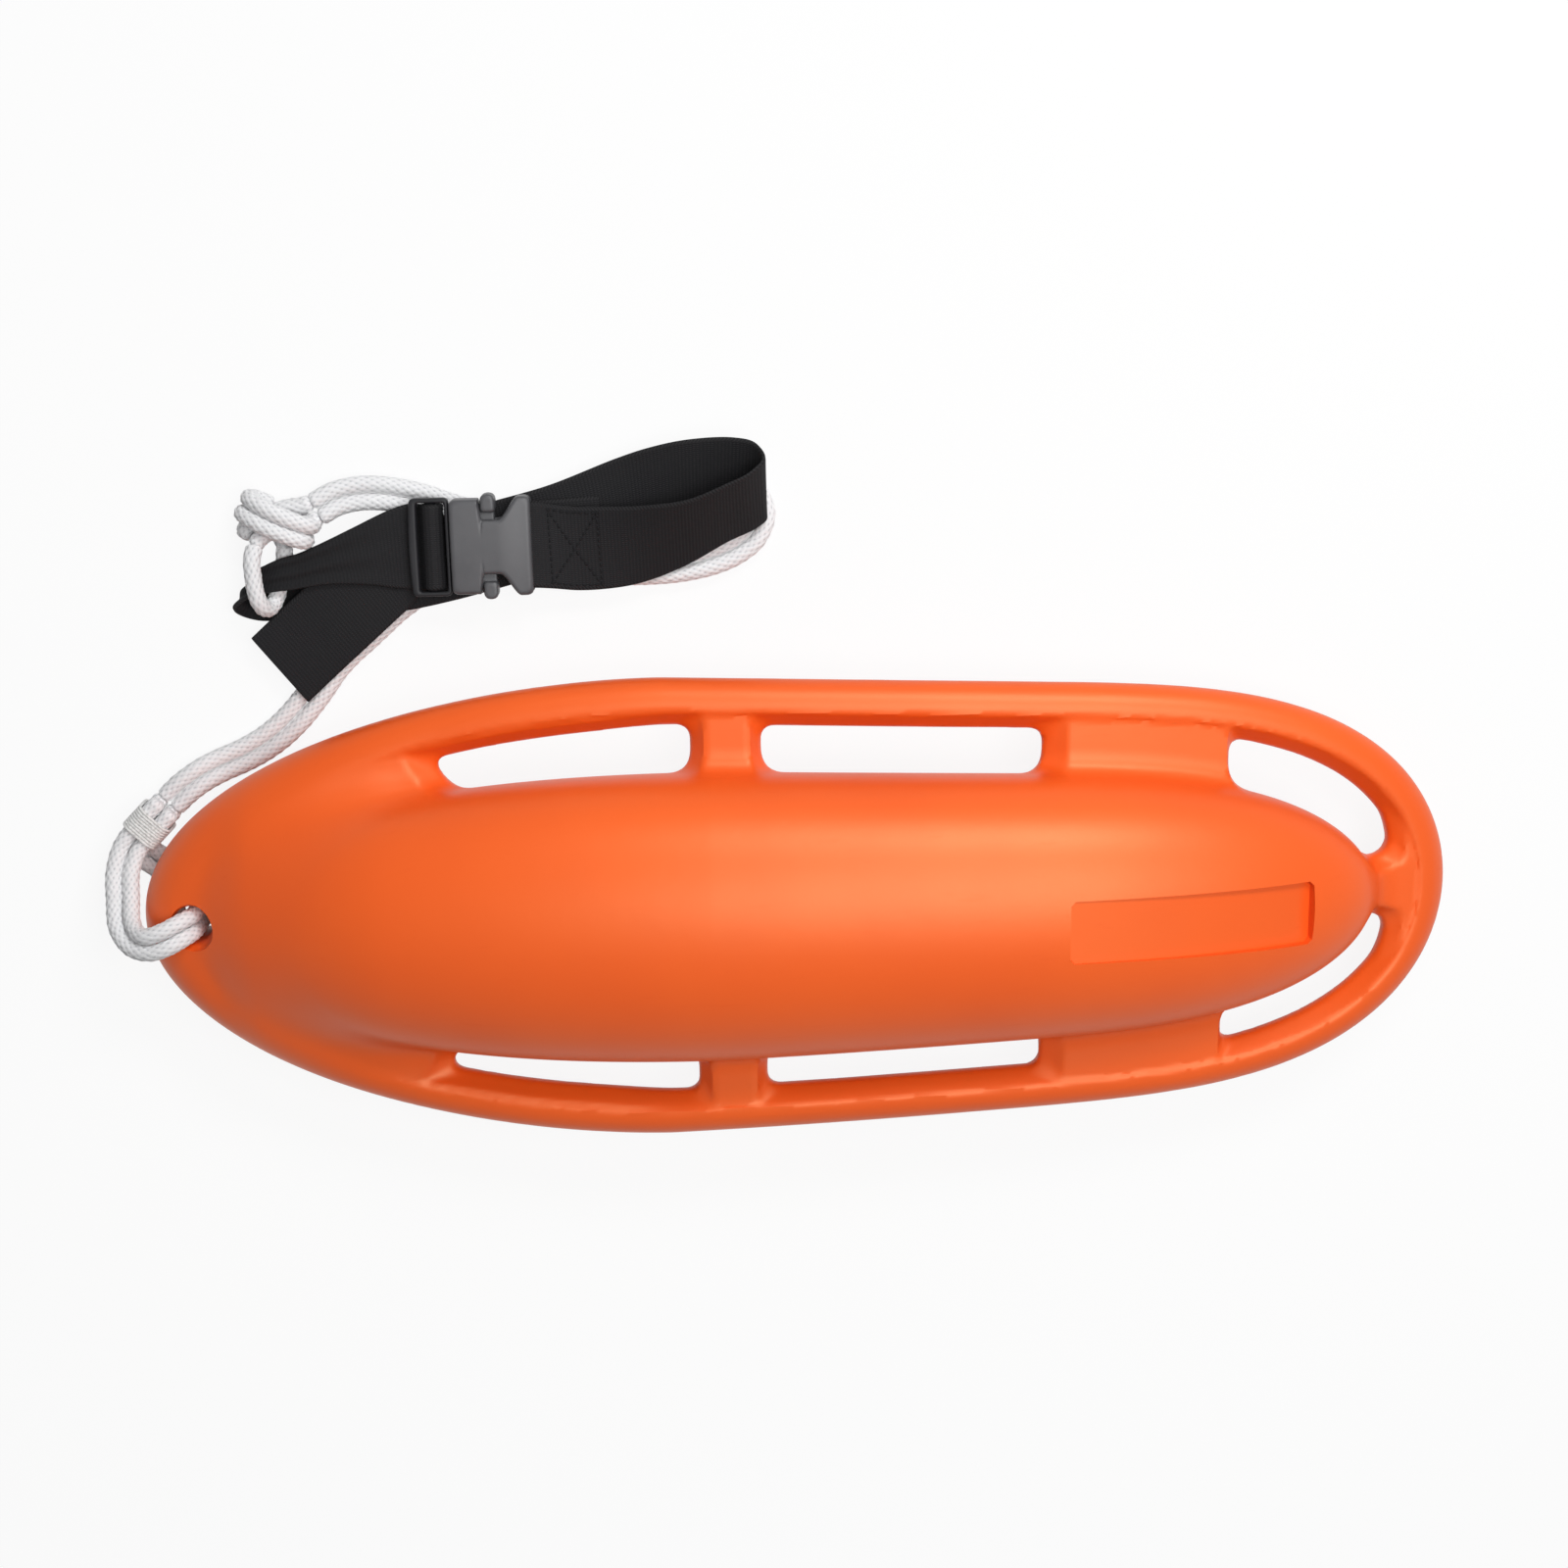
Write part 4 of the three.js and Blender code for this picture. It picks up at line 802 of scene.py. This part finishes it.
# Geometry Nodes helper: named inputs with their values, set on the modifier by identifier.
def nodeBuild(obj, name, inputs, build):
    tree = bpy.data.node_groups.new(name, "GeometryNodeTree")
    tree.interface.new_socket("Geometry", in_out="INPUT", socket_type="NodeSocketGeometry")
    for key, value in inputs.items():
        kind = "NodeSocketInt" if isinstance(value, int) else "NodeSocketFloat"
        tree.interface.new_socket(key, in_out="INPUT", socket_type=kind)
    tree.interface.new_socket("Geometry", in_out="OUTPUT", socket_type="NodeSocketGeometry")
    source = tree.nodes.new("NodeGroupInput")
    target = tree.nodes.new("NodeGroupOutput")

    def add(kind, settings=None, **links):
        node = tree.nodes.new(kind)
        for key, value in (settings or {}).items():
            setattr(node, key, value)
        for key, value in links.items():
            socket = node.inputs[key.replace("_", " ")]
            if isinstance(value, bpy.types.NodeSocket):
                tree.links.new(value, socket)
            else:
                socket.default_value = value
        return node

    tree.links.new(build(add, source.outputs), target.inputs["Geometry"])
    change = obj.modifiers.new(name, "NODES")
    change.node_group = tree
    for item in tree.interface.items_tree:
        if item.in_out == "INPUT" and item.name in inputs:
            change[item.identifier] = inputs[item.name]
    settle(obj)


# Binding beside the nose: turns of twine round the four strands, by Geometry Nodes.
seizing = {"x": -358.0, "y": 48.0, "z": 16.1, "yaw": 45.0, "turns": 9, "pitch": 1.62, "twine": 1.7,
           "twineSides": 10, "half": 10.35, "corner": 5.2, "cornerPoints": 9, "lean": 0.25}


def twineTurns(add, given):
    step = add("ShaderNodeCombineXYZ", X=given["stepX"], Y=given["stepY"], Z=0.0)
    rows = add("GeometryNodeMeshLine", {"mode": "OFFSET"}, Count=given["turns"], Offset=step.outputs[0])
    wire = add("GeometryNodeMeshToCurve", Mesh=given["Geometry"])
    circle = add("GeometryNodeCurvePrimitiveCircle", Resolution=given["twineSides"],
                 Radius=given["twineRadius"])
    turn = add("GeometryNodeCurveToMesh", Curve=wire.outputs[0], Profile_Curve=circle.outputs[0])
    laid = add("GeometryNodeInstanceOnPoints", Points=rows.outputs[0], Instance=turn.outputs[0])
    real = add("GeometryNodeRealizeInstances", Geometry=laid.outputs[0])
    smooth = add("GeometryNodeSetShadeSmooth", Geometry=real.outputs[0])
    return add("GeometryNodeSetMaterial", Geometry=smooth.outputs[0], Material=paints["twine"]).outputs[0]


def buildSeizing():
    s = seizing
    yaw = math.radians(s["yaw"])
    along = np.array((math.cos(yaw), math.sin(yaw), 0.0))
    across = np.array((-math.sin(yaw), math.cos(yaw), 0.0))
    up = np.array((0, 0, 1.0))
    ring = []
    for quarter in range(4):
        middle = math.radians(45 + 90 * quarter)
        cx = math.copysign(s["half"] - s["corner"], math.cos(middle))
        cz = math.copysign(s["half"] - s["corner"], math.sin(middle))
        for share in np.linspace(-1, 1, s["cornerPoints"]):
            turn = middle + share * math.pi / 4
            ring.append((cx + s["corner"] * math.cos(turn), cz + s["corner"] * math.sin(turn)))
    ring = np.array(ring)
    lean = s["pitch"] * (np.arange(len(ring)) / len(ring) - 0.5)
    start = np.array((s["x"], s["y"], s["z"])) - along * s["pitch"] * (s["turns"] - 1) / 2
    points = start + ring[:, :1] * across + ring[:, 1:] * up + s["lean"] * lean[:, None] * along
    obj = wireObject("ropeSeizing", points, [(i, (i + 1) % len(points)) for i in range(len(points))])
    nodeBuild(obj, "twineTurns", {
        "turns": s["turns"], "stepX": s["pitch"] * mm * along[0], "stepY": s["pitch"] * mm * along[1],
        "twineRadius": s["twine"] / 2 * mm, "twineSides": s["twineSides"]}, twineTurns)
    return dress(obj, paints["twine"])


seizingPiece = buildSeizing()
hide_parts("rope_seizing")
print("seizing", len(seizingPiece.data.polygons), "faces")


# Belt: webbing from its sewn end at the housing, round the loop, under the buckle, through the rope's eye
# and the ladder bar to its cut end. Rows: shares of the layout along, across and up, share of the width,
# yaw and tilt.
belt = {"width": 46.0, "thickness": 2.0, "layout": 100.0, "originX": -162.0, "originY": 198.0, "step": 1.1,
        "columns": 30, "gather": 0.35, "edge": 0.92, "edgePower": 2.2, "edgeThin": 0.25, "rimThin": 0.6,
        "pleat": 0.75, "pleats": 2.5, "pleatStart": 0.6, "pleatGrowth": 1.9, "swell": 0.315, "ripple": 0.16,
        "rippleLength": 23.0, "ripplePower": 3}
beltRouteShares = [
    (0.58, 0.02, 0.137, 1, 90, 0), (0.42, 0.01, 0.137, 1, 90, 0), (0.26, 0, 0.137, 1, 90, 0),
    (0.165, 0, 0.139, 1, 90, 0), (0.118, 0, 0.168, 1, 90, 0), (0.14, 0, 0.205, 1, 90, 0),
    (0.19, 0, 0.211, 1, 90, 0), (0.25, -0.005, 0.195, 1, 91, 0), (0.32, -0.015, 0.173, 1, 92, 1),
    (0.44, -0.03, 0.165, 1, 92, 4), (0.58, -0.03, 0.172, 1, 92, 8), (0.78, -0.015, 0.195, 1, 91, 19),
    (1.04, 0.05, 0.243, 1, 91, 35), (1.26, 0.155, 0.278, 1, 92, 42), (1.4, 0.22, 0.28, 1, 94, 42),
    (1.465, 0.28, 0.258, 1, 92, 38), (1.41, 0.33, 0.222, 1, 88, 30), (1.29, 0.345, 0.205, 1, 88, 23),
    (1.06, 0.33, 0.186, 1, 90, 19), (0.87, 0.285, 0.166, 1, 92, 14), (0.71, 0.225, 0.142, 1, 96, 8),
    (0.38, 0.09, 0.114, 1, 104, 1), (0.04, 0, 0.111, 1, 104, 0), (-0.28, -0.08, 0.111, 1, 103, 0),
    (-0.56, -0.135, 0.111, 0.98, 100, 0), (-0.76, -0.165, 0.1, 0.88, 98, 0),
    (-0.96, -0.2, 0.037, 0.74, 97, 0), (-1.16, -0.26, 0.023, 0.62, 92, 0),
    (-1.29, -0.275, 0.032, 0.56, 78, 0), (-1.36, -0.235, 0.095, 0.52, 62, 0),
    (-1.29, -0.18, 0.15, 0.46, 60, 0), (-1.18, -0.14, 0.165, 0.42, 70, 0),
    (-1.06, -0.12, 0.163, 0.42, 84, 0), (-0.94, -0.09, 0.161, 0.46, 96, 0),
    (-0.72, -0.045, 0.16, 0.68, 98, 0), (-0.52, -0.01, 0.159, 0.94, 92, 0), (-0.44, 0, 0.159, 1, 90, 0),
    (-0.395, 0, 0.16, 1, 90, 0), (-0.368, 0, 0.188, 1, 90, 0), (-0.345, 0, 0.219, 1, 90, 0),
    (-0.315, 0, 0.229, 1, 90, 0), (-0.285, 0, 0.219, 1, 90, 0), (-0.267, 0, 0.19, 1, 90, 0),
    (-0.27, 0, 0.157, 1, 90, 0), (-0.295, 0, 0.1385, 1, 90, 0), (-0.37, -0.005, 0.136, 1, 93, 0),
    (-0.48, -0.05, 0.136, 1, 110, 0), (-0.6, -0.145, 0.135, 1, 124, 0), (-0.82, -0.335, 0.13, 1, 128, 0),
    (-1.02, -0.51, 0.116, 1, 128, 0), (-1.195, -0.665, 0.112, 1, 128, 0),
]


def beltStations():
    b = belt
    rows = []
    for along, across, up, share, yaw, tilt in beltRouteShares:
        turn, lean = math.radians(yaw), math.radians(tilt)
        place = (b["originX"] + along * b["layout"], b["originY"] + across * b["layout"], up * b["layout"])
        side = (math.cos(turn) * math.cos(lean), math.sin(turn) * math.cos(lean), math.sin(lean))
        rows.append((*place, *side, share))
    fine = splineThrough(rows, b["step"])
    centre, side, share = fine[:, :3], unit(fine[:, 3:6]), fine[:, 6]
    normal = unit(np.cross(unit(np.gradient(centre, axis=0)), side))
    return centre, side, normal, share


beltFrame = beltStations()
beltMarks = marksAlong(beltFrame[0])


def beltPoint(along, across, lift):
    i = np.interp(along, beltMarks, np.arange(len(beltMarks)))
    low = np.clip(np.floor(i).astype(int), 0, len(beltMarks) - 2)
    share = (i - low)[..., None]
    centre, side, normal = (part[low] * (1 - share) + part[low + 1] * share for part in beltFrame[:3])
    return centre + side * across[..., None] + normal * lift[..., None]


def buildBelt():
    b = belt
    centre, side, normal, share = beltFrame
    loose = np.clip(1 - share, 0, 1)
    v = np.sin(np.linspace(-0.5, 0.5, b["columns"]) * math.pi)
    v = b["gather"] * v + (1 - b["gather"]) * np.linspace(-1, 1, b["columns"])
    body = 1 - np.clip((np.abs(v) - b["edge"]) / (1 - b["edge"]), 0, 1) ** b["edgePower"]
    half = b["thickness"] / 2 * (b["edgeThin"] + (1 - b["edgeThin"]) * body)
    half[[0, -1]] *= b["rimThin"]
    width = share * b["width"] / 2
    pleats = np.cos(2 * math.pi * b["pleats"] * v[None, :] / 2 + b["pleatStart"])
    sway = b["pleat"] * np.clip(loose * b["pleatGrowth"], 0, 1)[:, None] * pleats
    wave = b["ripple"] * np.sin(beltMarks / b["rippleLength"])[:, None]
    wave = wave * np.abs(v[None, :]) ** b["ripplePower"]
    swell = 1 + b["swell"] * loose[:, None]
    rings = []
    for sign, order in ((1, slice(None)), (-1, slice(None, None, -1))):
        lift = (sway + wave + sign * half[None, :] * swell)[:, order]
        across = (width[:, None] * v[None, :])[:, order]
        rings.append(centre[:, None] + side[:, None] * across[..., None] + normal[:, None] * lift[..., None])
    ring = np.concatenate(rings, axis=1)
    stations, sides = ring.shape[:2]
    i, j, k, faces = tubeQuads(stations, sides)
    flat = np.concatenate([v, v[::-1]]) * b["width"] / 2
    ends = ((i, j), (i, k), (i + 1, k), (i + 1, j))
    corner = np.stack([np.stack([beltMarks[m], flat[n]], -1) for m, n in ends], 2)
    j = np.arange(sides // 2 - 1)
    caps = []
    for base, turn in ((0, 1), ((stations - 1) * sides, -1)):
        cap = np.stack([base + j, base + sides - 1 - j, base + sides - 2 - j, base + j + 1], -1)
        caps.append(cap[:, ::turn])
    faces = np.vstack([faces] + caps)
    uvs = np.vstack([corner.reshape(-1, 2), np.zeros((8 * len(j), 2))])
    obj = meshObject("beltStrap", ring.reshape(-1, 3), faces, cornerUv=uvs)
    pointFacesOut(obj)
    return dress(obj, paints["webbing"])


# Stitches of the sewn end, by Geometry Nodes along their seam lines.
stitch = {"from": 69.0, "to": 96.0, "inset": 3.2, "pitch": 3.4, "length": 2.6, "thread": 0.62, "lift": 1.12,
          "flatten": 0.75, "segments": 8, "rings": 6, "linePoints": 24}


def stitchRow(add, given):
    wire = add("GeometryNodeMeshToCurve", Mesh=given["Geometry"])
    marks = add("GeometryNodeResampleCurve", {"mode": "LENGTH"}, Curve=wire.outputs[0], Length=given["pitch"])
    ahead = add("GeometryNodeInputTangent")
    turn = add("FunctionNodeAlignRotationToVector", {"axis": "X"}, Vector=ahead.outputs[0])
    thread = add("GeometryNodeMeshUVSphere", Segments=given["segments"], Rings=given["rings"],
                 Radius=given["threadRadius"])
    size = add("ShaderNodeCombineXYZ", X=given["stretch"], Y=1.0, Z=given["flatten"])
    laid = add("GeometryNodeInstanceOnPoints", Points=marks.outputs[0], Instance=thread.outputs[0],
               Rotation=turn.outputs[0], Scale=size.outputs[0])
    real = add("GeometryNodeRealizeInstances", Geometry=laid.outputs[0])
    smooth = add("GeometryNodeSetShadeSmooth", Geometry=real.outputs[0])
    return add("GeometryNodeSetMaterial", Geometry=smooth.outputs[0], Material=paints["thread"]).outputs[0]


def buildStitches():
    s = stitch
    half = belt["width"] / 2 - s["inset"]
    corners = [(s["from"], -half), (s["to"], -half), (s["to"], half), (s["from"], half), (s["from"], -half),
               (s["to"], half)]
    lines = [corners, [(s["from"], half), (s["to"], -half)]]
    points, edges = [], []
    for line in lines:
        marks = []
        for (a, b), (c, d) in zip(line, line[1:]):
            marks += [(a + (c - a) * t, b + (d - b) * t) for t in np.linspace(0, 1, s["linePoints"])]
        marks = np.array(marks)
        keep = np.concatenate([[True], np.linalg.norm(np.diff(marks, axis=0), axis=1) > 1e-6])
        marks = marks[keep]
        base = len(points)
        points += list(beltPoint(marks[:, 0], marks[:, 1], np.full(len(marks), s["lift"])))
        edges += [(base + i, base + i + 1) for i in range(len(marks) - 1)]
    obj = wireObject("beltStitches", points, edges)
    nodeBuild(obj, "stitchRow", {
        "pitch": s["pitch"] * mm, "threadRadius": s["thread"] * mm, "stretch": s["length"] / 2 / s["thread"],
        "flatten": s["flatten"], "segments": s["segments"], "rings": s["rings"]}, stitchRow)
    return dress(obj, paints["thread"])


beltPiece = buildBelt()
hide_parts("belt_strap")
beltStitches = buildStitches()


# Buckle: housing, plug and the two release arms, with the CAD's inner sizes and moulded outer forms.
buckle = {
    "y": 198.0, "z": 20.2, "mouth": -184.0, "length": 43.5, "half": 25.4, "rearHalf": 26.6, "rearFade": 12,
    "waistHalf": 14.6, "notch": (15.2, 17.8, 25.4, 37.0), "corner": 4.0, "height": 7.3, "crown": 1.0,
    "rearDrop": 1.5, "dropFade": (25, 20), "edge": 2.6, "bay": (-2.0, 28.0, 21.6, 4.0),
    "strapBay": (32.0, 50.0, 23.7, -20.0, 2.5), "bayEdge": 0.7, "bar": (37.5, 43.5, -2.7, 1.9),
    "barHalf": 24.2, "grid": 0.55, "reach": 0.02, "sharp": 40,
}
plug = {
    "front": -0.3, "frontBar": 2.2, "innerSlot": 4.6, "ladder": 6.0, "outerSlot": 4.6, "endBar": 4.6,
    "half": 26.4, "slotHalf": 23.8, "height": 3.0, "corner": 3.0, "edge": 1.6, "slotCorner": 1.5,
    "slotEdge": 1.4, "ladderHalf": 2.2, "ladderDrop": 1.3, "ladderInset": 1.2, "bow": 1.2, "slotBow": 0.3,
    "tongue": 22.0, "tongueHalf": 3.6, "tongueHeight": 2.0,
}
arm = {
    "root": (2.5, 9.0, 2.5), "rise": (3.0, 8.0), "beamHalf": 1.7, "beamEnd": 20.0, "height": 3.0,
    "head": (9.0, 24.0), "headInner": (12.4, 0.04), "headOuter": (23.0, 0.35, 17.0),
    "pad": (16.8, 24.6, 18.6, 28.2), "padBulge": 0.09, "padHeight": 6.0,
}


def slab(value, low, high):
    return np.maximum(low - value, value - high)


def housingField(p):
    b = buckle
    s, y, z = p[..., 0] - b["mouth"], np.abs(p[..., 1] - b["y"]), p[..., 2] - b["z"]
    a0, a1, a2, a3 = b["notch"]

    def notched(at):
        return fade(at, a0, a1 - a0) * (1 - fade(at, a2, a3 - a2))

    into = notched(s)
    wide = b["half"] + (b["rearHalf"] - b["half"]) * fade(s, a2, b["rearFade"])
    half = wide - (wide - b["waistHalf"]) * into
    slope = (wide - b["waistHalf"]) * (notched(s + 0.1) - into) / 0.1
    outline = softMax((y - half) / np.sqrt(1 + slope ** 2), slab(s, 0.0, b["length"]), b["corner"])
    top = b["height"] - b["crown"] * (y / b["half"]) ** 2 - b["rearDrop"] * fade(s, *b["dropFade"])
    value = softMax(outline, np.maximum(z - top, -z - b["height"]), b["edge"])
    low, high, bayHalf, bayHeight = b["bay"]
    bay = softMax(softMax(slab(s, low, high), y - bayHalf, 1.0), np.abs(z) - bayHeight, 1.0)
    value = softMax(value, -bay, b["bayEdge"])
    low, high, bayHalf, bottom, ceiling = b["strapBay"]
    bay = softMax(softMax(slab(s, low, high), y - bayHalf, 1.0), slab(z, bottom, ceiling), 1.0)
    value = softMax(value, -bay, b["bayEdge"])
    low, high, barZ, barHalf = b["bar"]
    bar = softMax(softMax(slab(s, low, high), np.abs(z - barZ) - barHalf, 1.6), y - b["barHalf"], 0.5)
    return softMin(value, bar, 0.8)


def plugField(p):
    g = plug
    s, y, z = p[..., 0] - buckle["mouth"], np.abs(p[..., 1] - buckle["y"]), p[..., 2] - buckle["z"]
    bar = g["front"] - g["frontBar"]
    ladder = (bar - g["innerSlot"] - g["ladder"], bar - g["innerSlot"])
    outer = ladder[0] - g["outerSlot"]
    end = outer - g["endBar"] + g["bow"] * (y / g["half"]) ** 2
    outline = softMax(np.maximum(end - s, s - g["front"]), y - g["half"], g["corner"])
    hole = slab(s, outer + g["slotBow"] * (y / g["half"]) ** 2, bar)
    hole = softMax(hole, y - g["slotHalf"], g["slotCorner"])
    value = softMax(softMax(outline, np.abs(z) - g["height"], g["edge"]), -hole, g["slotEdge"])
    middle = (ladder[0] + ladder[1]) / 2
    ratio = g["ladder"] / 2 / g["ladderHalf"]
    rung = np.sqrt(((s - middle) / ratio) ** 2 + (z + g["ladderDrop"]) ** 2) - g["ladderHalf"]
    value = softMin(value, softMax(rung, y - g["half"] + g["ladderInset"], 0.5), 0.8)
    tongue = softMax(softMax(slab(s, g["front"] - 1, g["front"] + g["tongue"]), y - g["tongueHalf"], 2.0),
                     np.abs(z) - g["tongueHeight"], 1.0)
    return softMin(value, tongue, 1.0)


def armField(side):
    def field(p):
        a = arm
        s, z = p[..., 0] - buckle["mouth"], np.abs(p[..., 2] - buckle["z"])
        y = (p[..., 1] - buckle["y"]) * side
        rootX, rootY, rootRadius = a["root"]
        root = np.hypot(s - rootX, y - rootY) - rootRadius
        rise, riseLength = a["rise"]
        middle = rootY + rise * fade(s, rootX, riseLength)
        beam = softMax(np.abs(y - middle) - a["beamHalf"], slab(s, rootX, a["beamEnd"]), 1.0)
        inner, innerSlope = a["headInner"]
        outer, outerSlope, outerX = a["headOuter"]
        sides = slab(y, inner - innerSlope * s, outer - outerSlope * np.abs(s - outerX))
        head = softMax(slab(s, *a["head"]), sides, 2.5)
        value = softMax(softMin(softMin(root, beam, 2.0), head, 1.5), z - a["height"], 0.9)
        x0, x1, y0, y1 = a["pad"]
        bulge = y1 - a["padBulge"] * (s - (x0 + x1) / 2) ** 2
        pad = softMax(softMax(slab(s, x0, x1), np.maximum(y0 - y, y - bulge), 2.2), z - a["padHeight"], 2.0)
        return softMin(value, pad, 0.8)
    return field


def carve(name, field, low, high):
    b = buckle
    origin = (b["mouth"], b["y"], b["z"])
    points, faces = surfaceNet(field, np.array(low) + origin, np.array(high) + origin, b["grid"])
    obj = meshObject(name, pullToSurface(field, points, reach=b["reach"]), faces)
    obj.data.set_sharp_from_angle(angle=math.radians(b["sharp"]))
    return obj


buckleParts = [  # name, shape, box that holds it, paint, CAD node, body
    ("buckleHousing", housingField, (-2, -29, -9), (46, 29, 9), "buckle", "buckle_housing", mainBody),
    ("bucklePlug", plugField, (-25, -29, -5), (24, 29, 5), "plug", "buckle_plug", mainBody),
    ("releaseArmUpper", armField(1), (-1, 4, -8), (28, 31, 8), "buckle", "release_arm_upper", "arm_upper"),
    ("releaseArmLower", armField(-1), (-1, -31, -8), (28, -4, 8), "buckle", "release_arm_lower", "arm_lower"),
]
for name, field, low, high, paint, node, body in buckleParts:
    piece = dress(carve(name, field, low, high), paints[paint], body)
    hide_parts(node)
    print(name, len(piece.data.polygons), "faces")

# Vent plug: its CAD shape is right, so it only gets its finish.
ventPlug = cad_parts["vent_plug"]
for materialSlot in ventPlug.material_slots:
    materialSlot.material = paints["vent"]


# Soft pieces' paths in metres: each one's start and length are worked out and not kept.
def declareRope(node):
    path = ropePaths[node] * mm
    tuple(path[0])
    pathLength(path)


declareRope("rope_nose_eye_outer")
declareRope("rope_nose_eye_inner")
declareRope("rope_leg_left")
declareRope("rope_leg_right")
declareRope("rope_belt_eye")


# Floor and studio light.
studio = {
    "floorHalf": 4000, "floorZ": -0.3, "floorColor": (0.8, 0.8, 0.8), "floorRoughness": 0.9,
    "floorGrain": 140, "floorBump": 0.0001, "glow": 0.9, "world": 0.1,
    "keyPower": 20.0, "keySize": (0.9, 1.0), "keyPlace": (0.42, 0.3, 1.7), "keyAim": (0.3, 0.1, 0.0),
    "sidePower": 15.0, "sideSize": (0.8, 0.4), "sidePlace": (0.45, 1.25, 1.15), "sideAim": (0.05, 0.1, 0.0),
}


def addFloor():
    h, z = studio["floorHalf"], studio["floorZ"]
    obj = meshObject("studioFloor", [(-h, -h, z), (h, -h, z), (h, h, z), (-h, h, z)], [(0, 1, 2, 3)])
    p = Paint("studioFloor", studio["floorColor"], studio["floorRoughness"])
    p.use(Normal=p.bump(p.noise(p.coordinates(), studio["floorGrain"], 2), studio["floorBump"], 0.2))
    seen = seenRays(p.tree)
    share = Flow(p, seen) * studio["glow"]
    glow = p.node("ShaderNodeEmission", {}, (1, 1, 1, 1), 1.0)
    blend = p.node("ShaderNodeMixShader", {}, share, Flow(p, p.shader.outputs[0]), glow)
    p.tree.links.new(blend.socket, p.tree.nodes["Material Output"].inputs["Surface"])
    obj.data.materials.append(p.material)


def seenRays(tree):
    path = tree.nodes.new("ShaderNodeLightPath")
    total = path.outputs["Is Camera Ray"]
    for name in ("Is Glossy Ray", "Is Transmission Ray"):
        most = tree.nodes.new("ShaderNodeMath")
        most.operation = "MAXIMUM"
        tree.links.new(total, most.inputs[0])
        tree.links.new(path.outputs[name], most.inputs[1])
        total = most.outputs[0]
    return total


def addArea(name, place, size, power, target):
    data = bpy.data.lights.new(name, "AREA")
    data.shape, data.size, data.size_y, data.energy = "RECTANGLE", size[0], size[1], power
    lamp = bpy.data.objects.new(name, data)
    bpy.context.scene.collection.objects.link(lamp)
    lamp.location = place
    lamp.rotation_euler = (Vector(target) - Vector(place)).to_track_quat("-Z", "Y").to_euler()


def addWorld():
    world = bpy.data.worlds.new("studioWorld")
    bpy.context.scene.world = world
    world.use_nodes = True
    tree = world.node_tree
    back = tree.nodes["Background"]
    back.inputs["Color"].default_value = (1, 1, 1, 1)
    sight = tree.nodes.new("ShaderNodeMath")
    sight.operation = "MULTIPLY_ADD"
    tree.links.new(seenRays(tree), sight.inputs[0])
    sight.inputs[1].default_value = 1 - studio["world"]
    sight.inputs[2].default_value = studio["world"]
    tree.links.new(sight.outputs[0], back.inputs["Strength"])


addFloor()
for name in ("key", "side"):
    addArea(name + "Light", studio[name + "Place"], studio[name + "Size"], studio[name + "Power"],
            studio[name + "Aim"])
addWorld()
bpy.context.scene.view_settings.view_transform = "Standard"
print("floor and lights done")
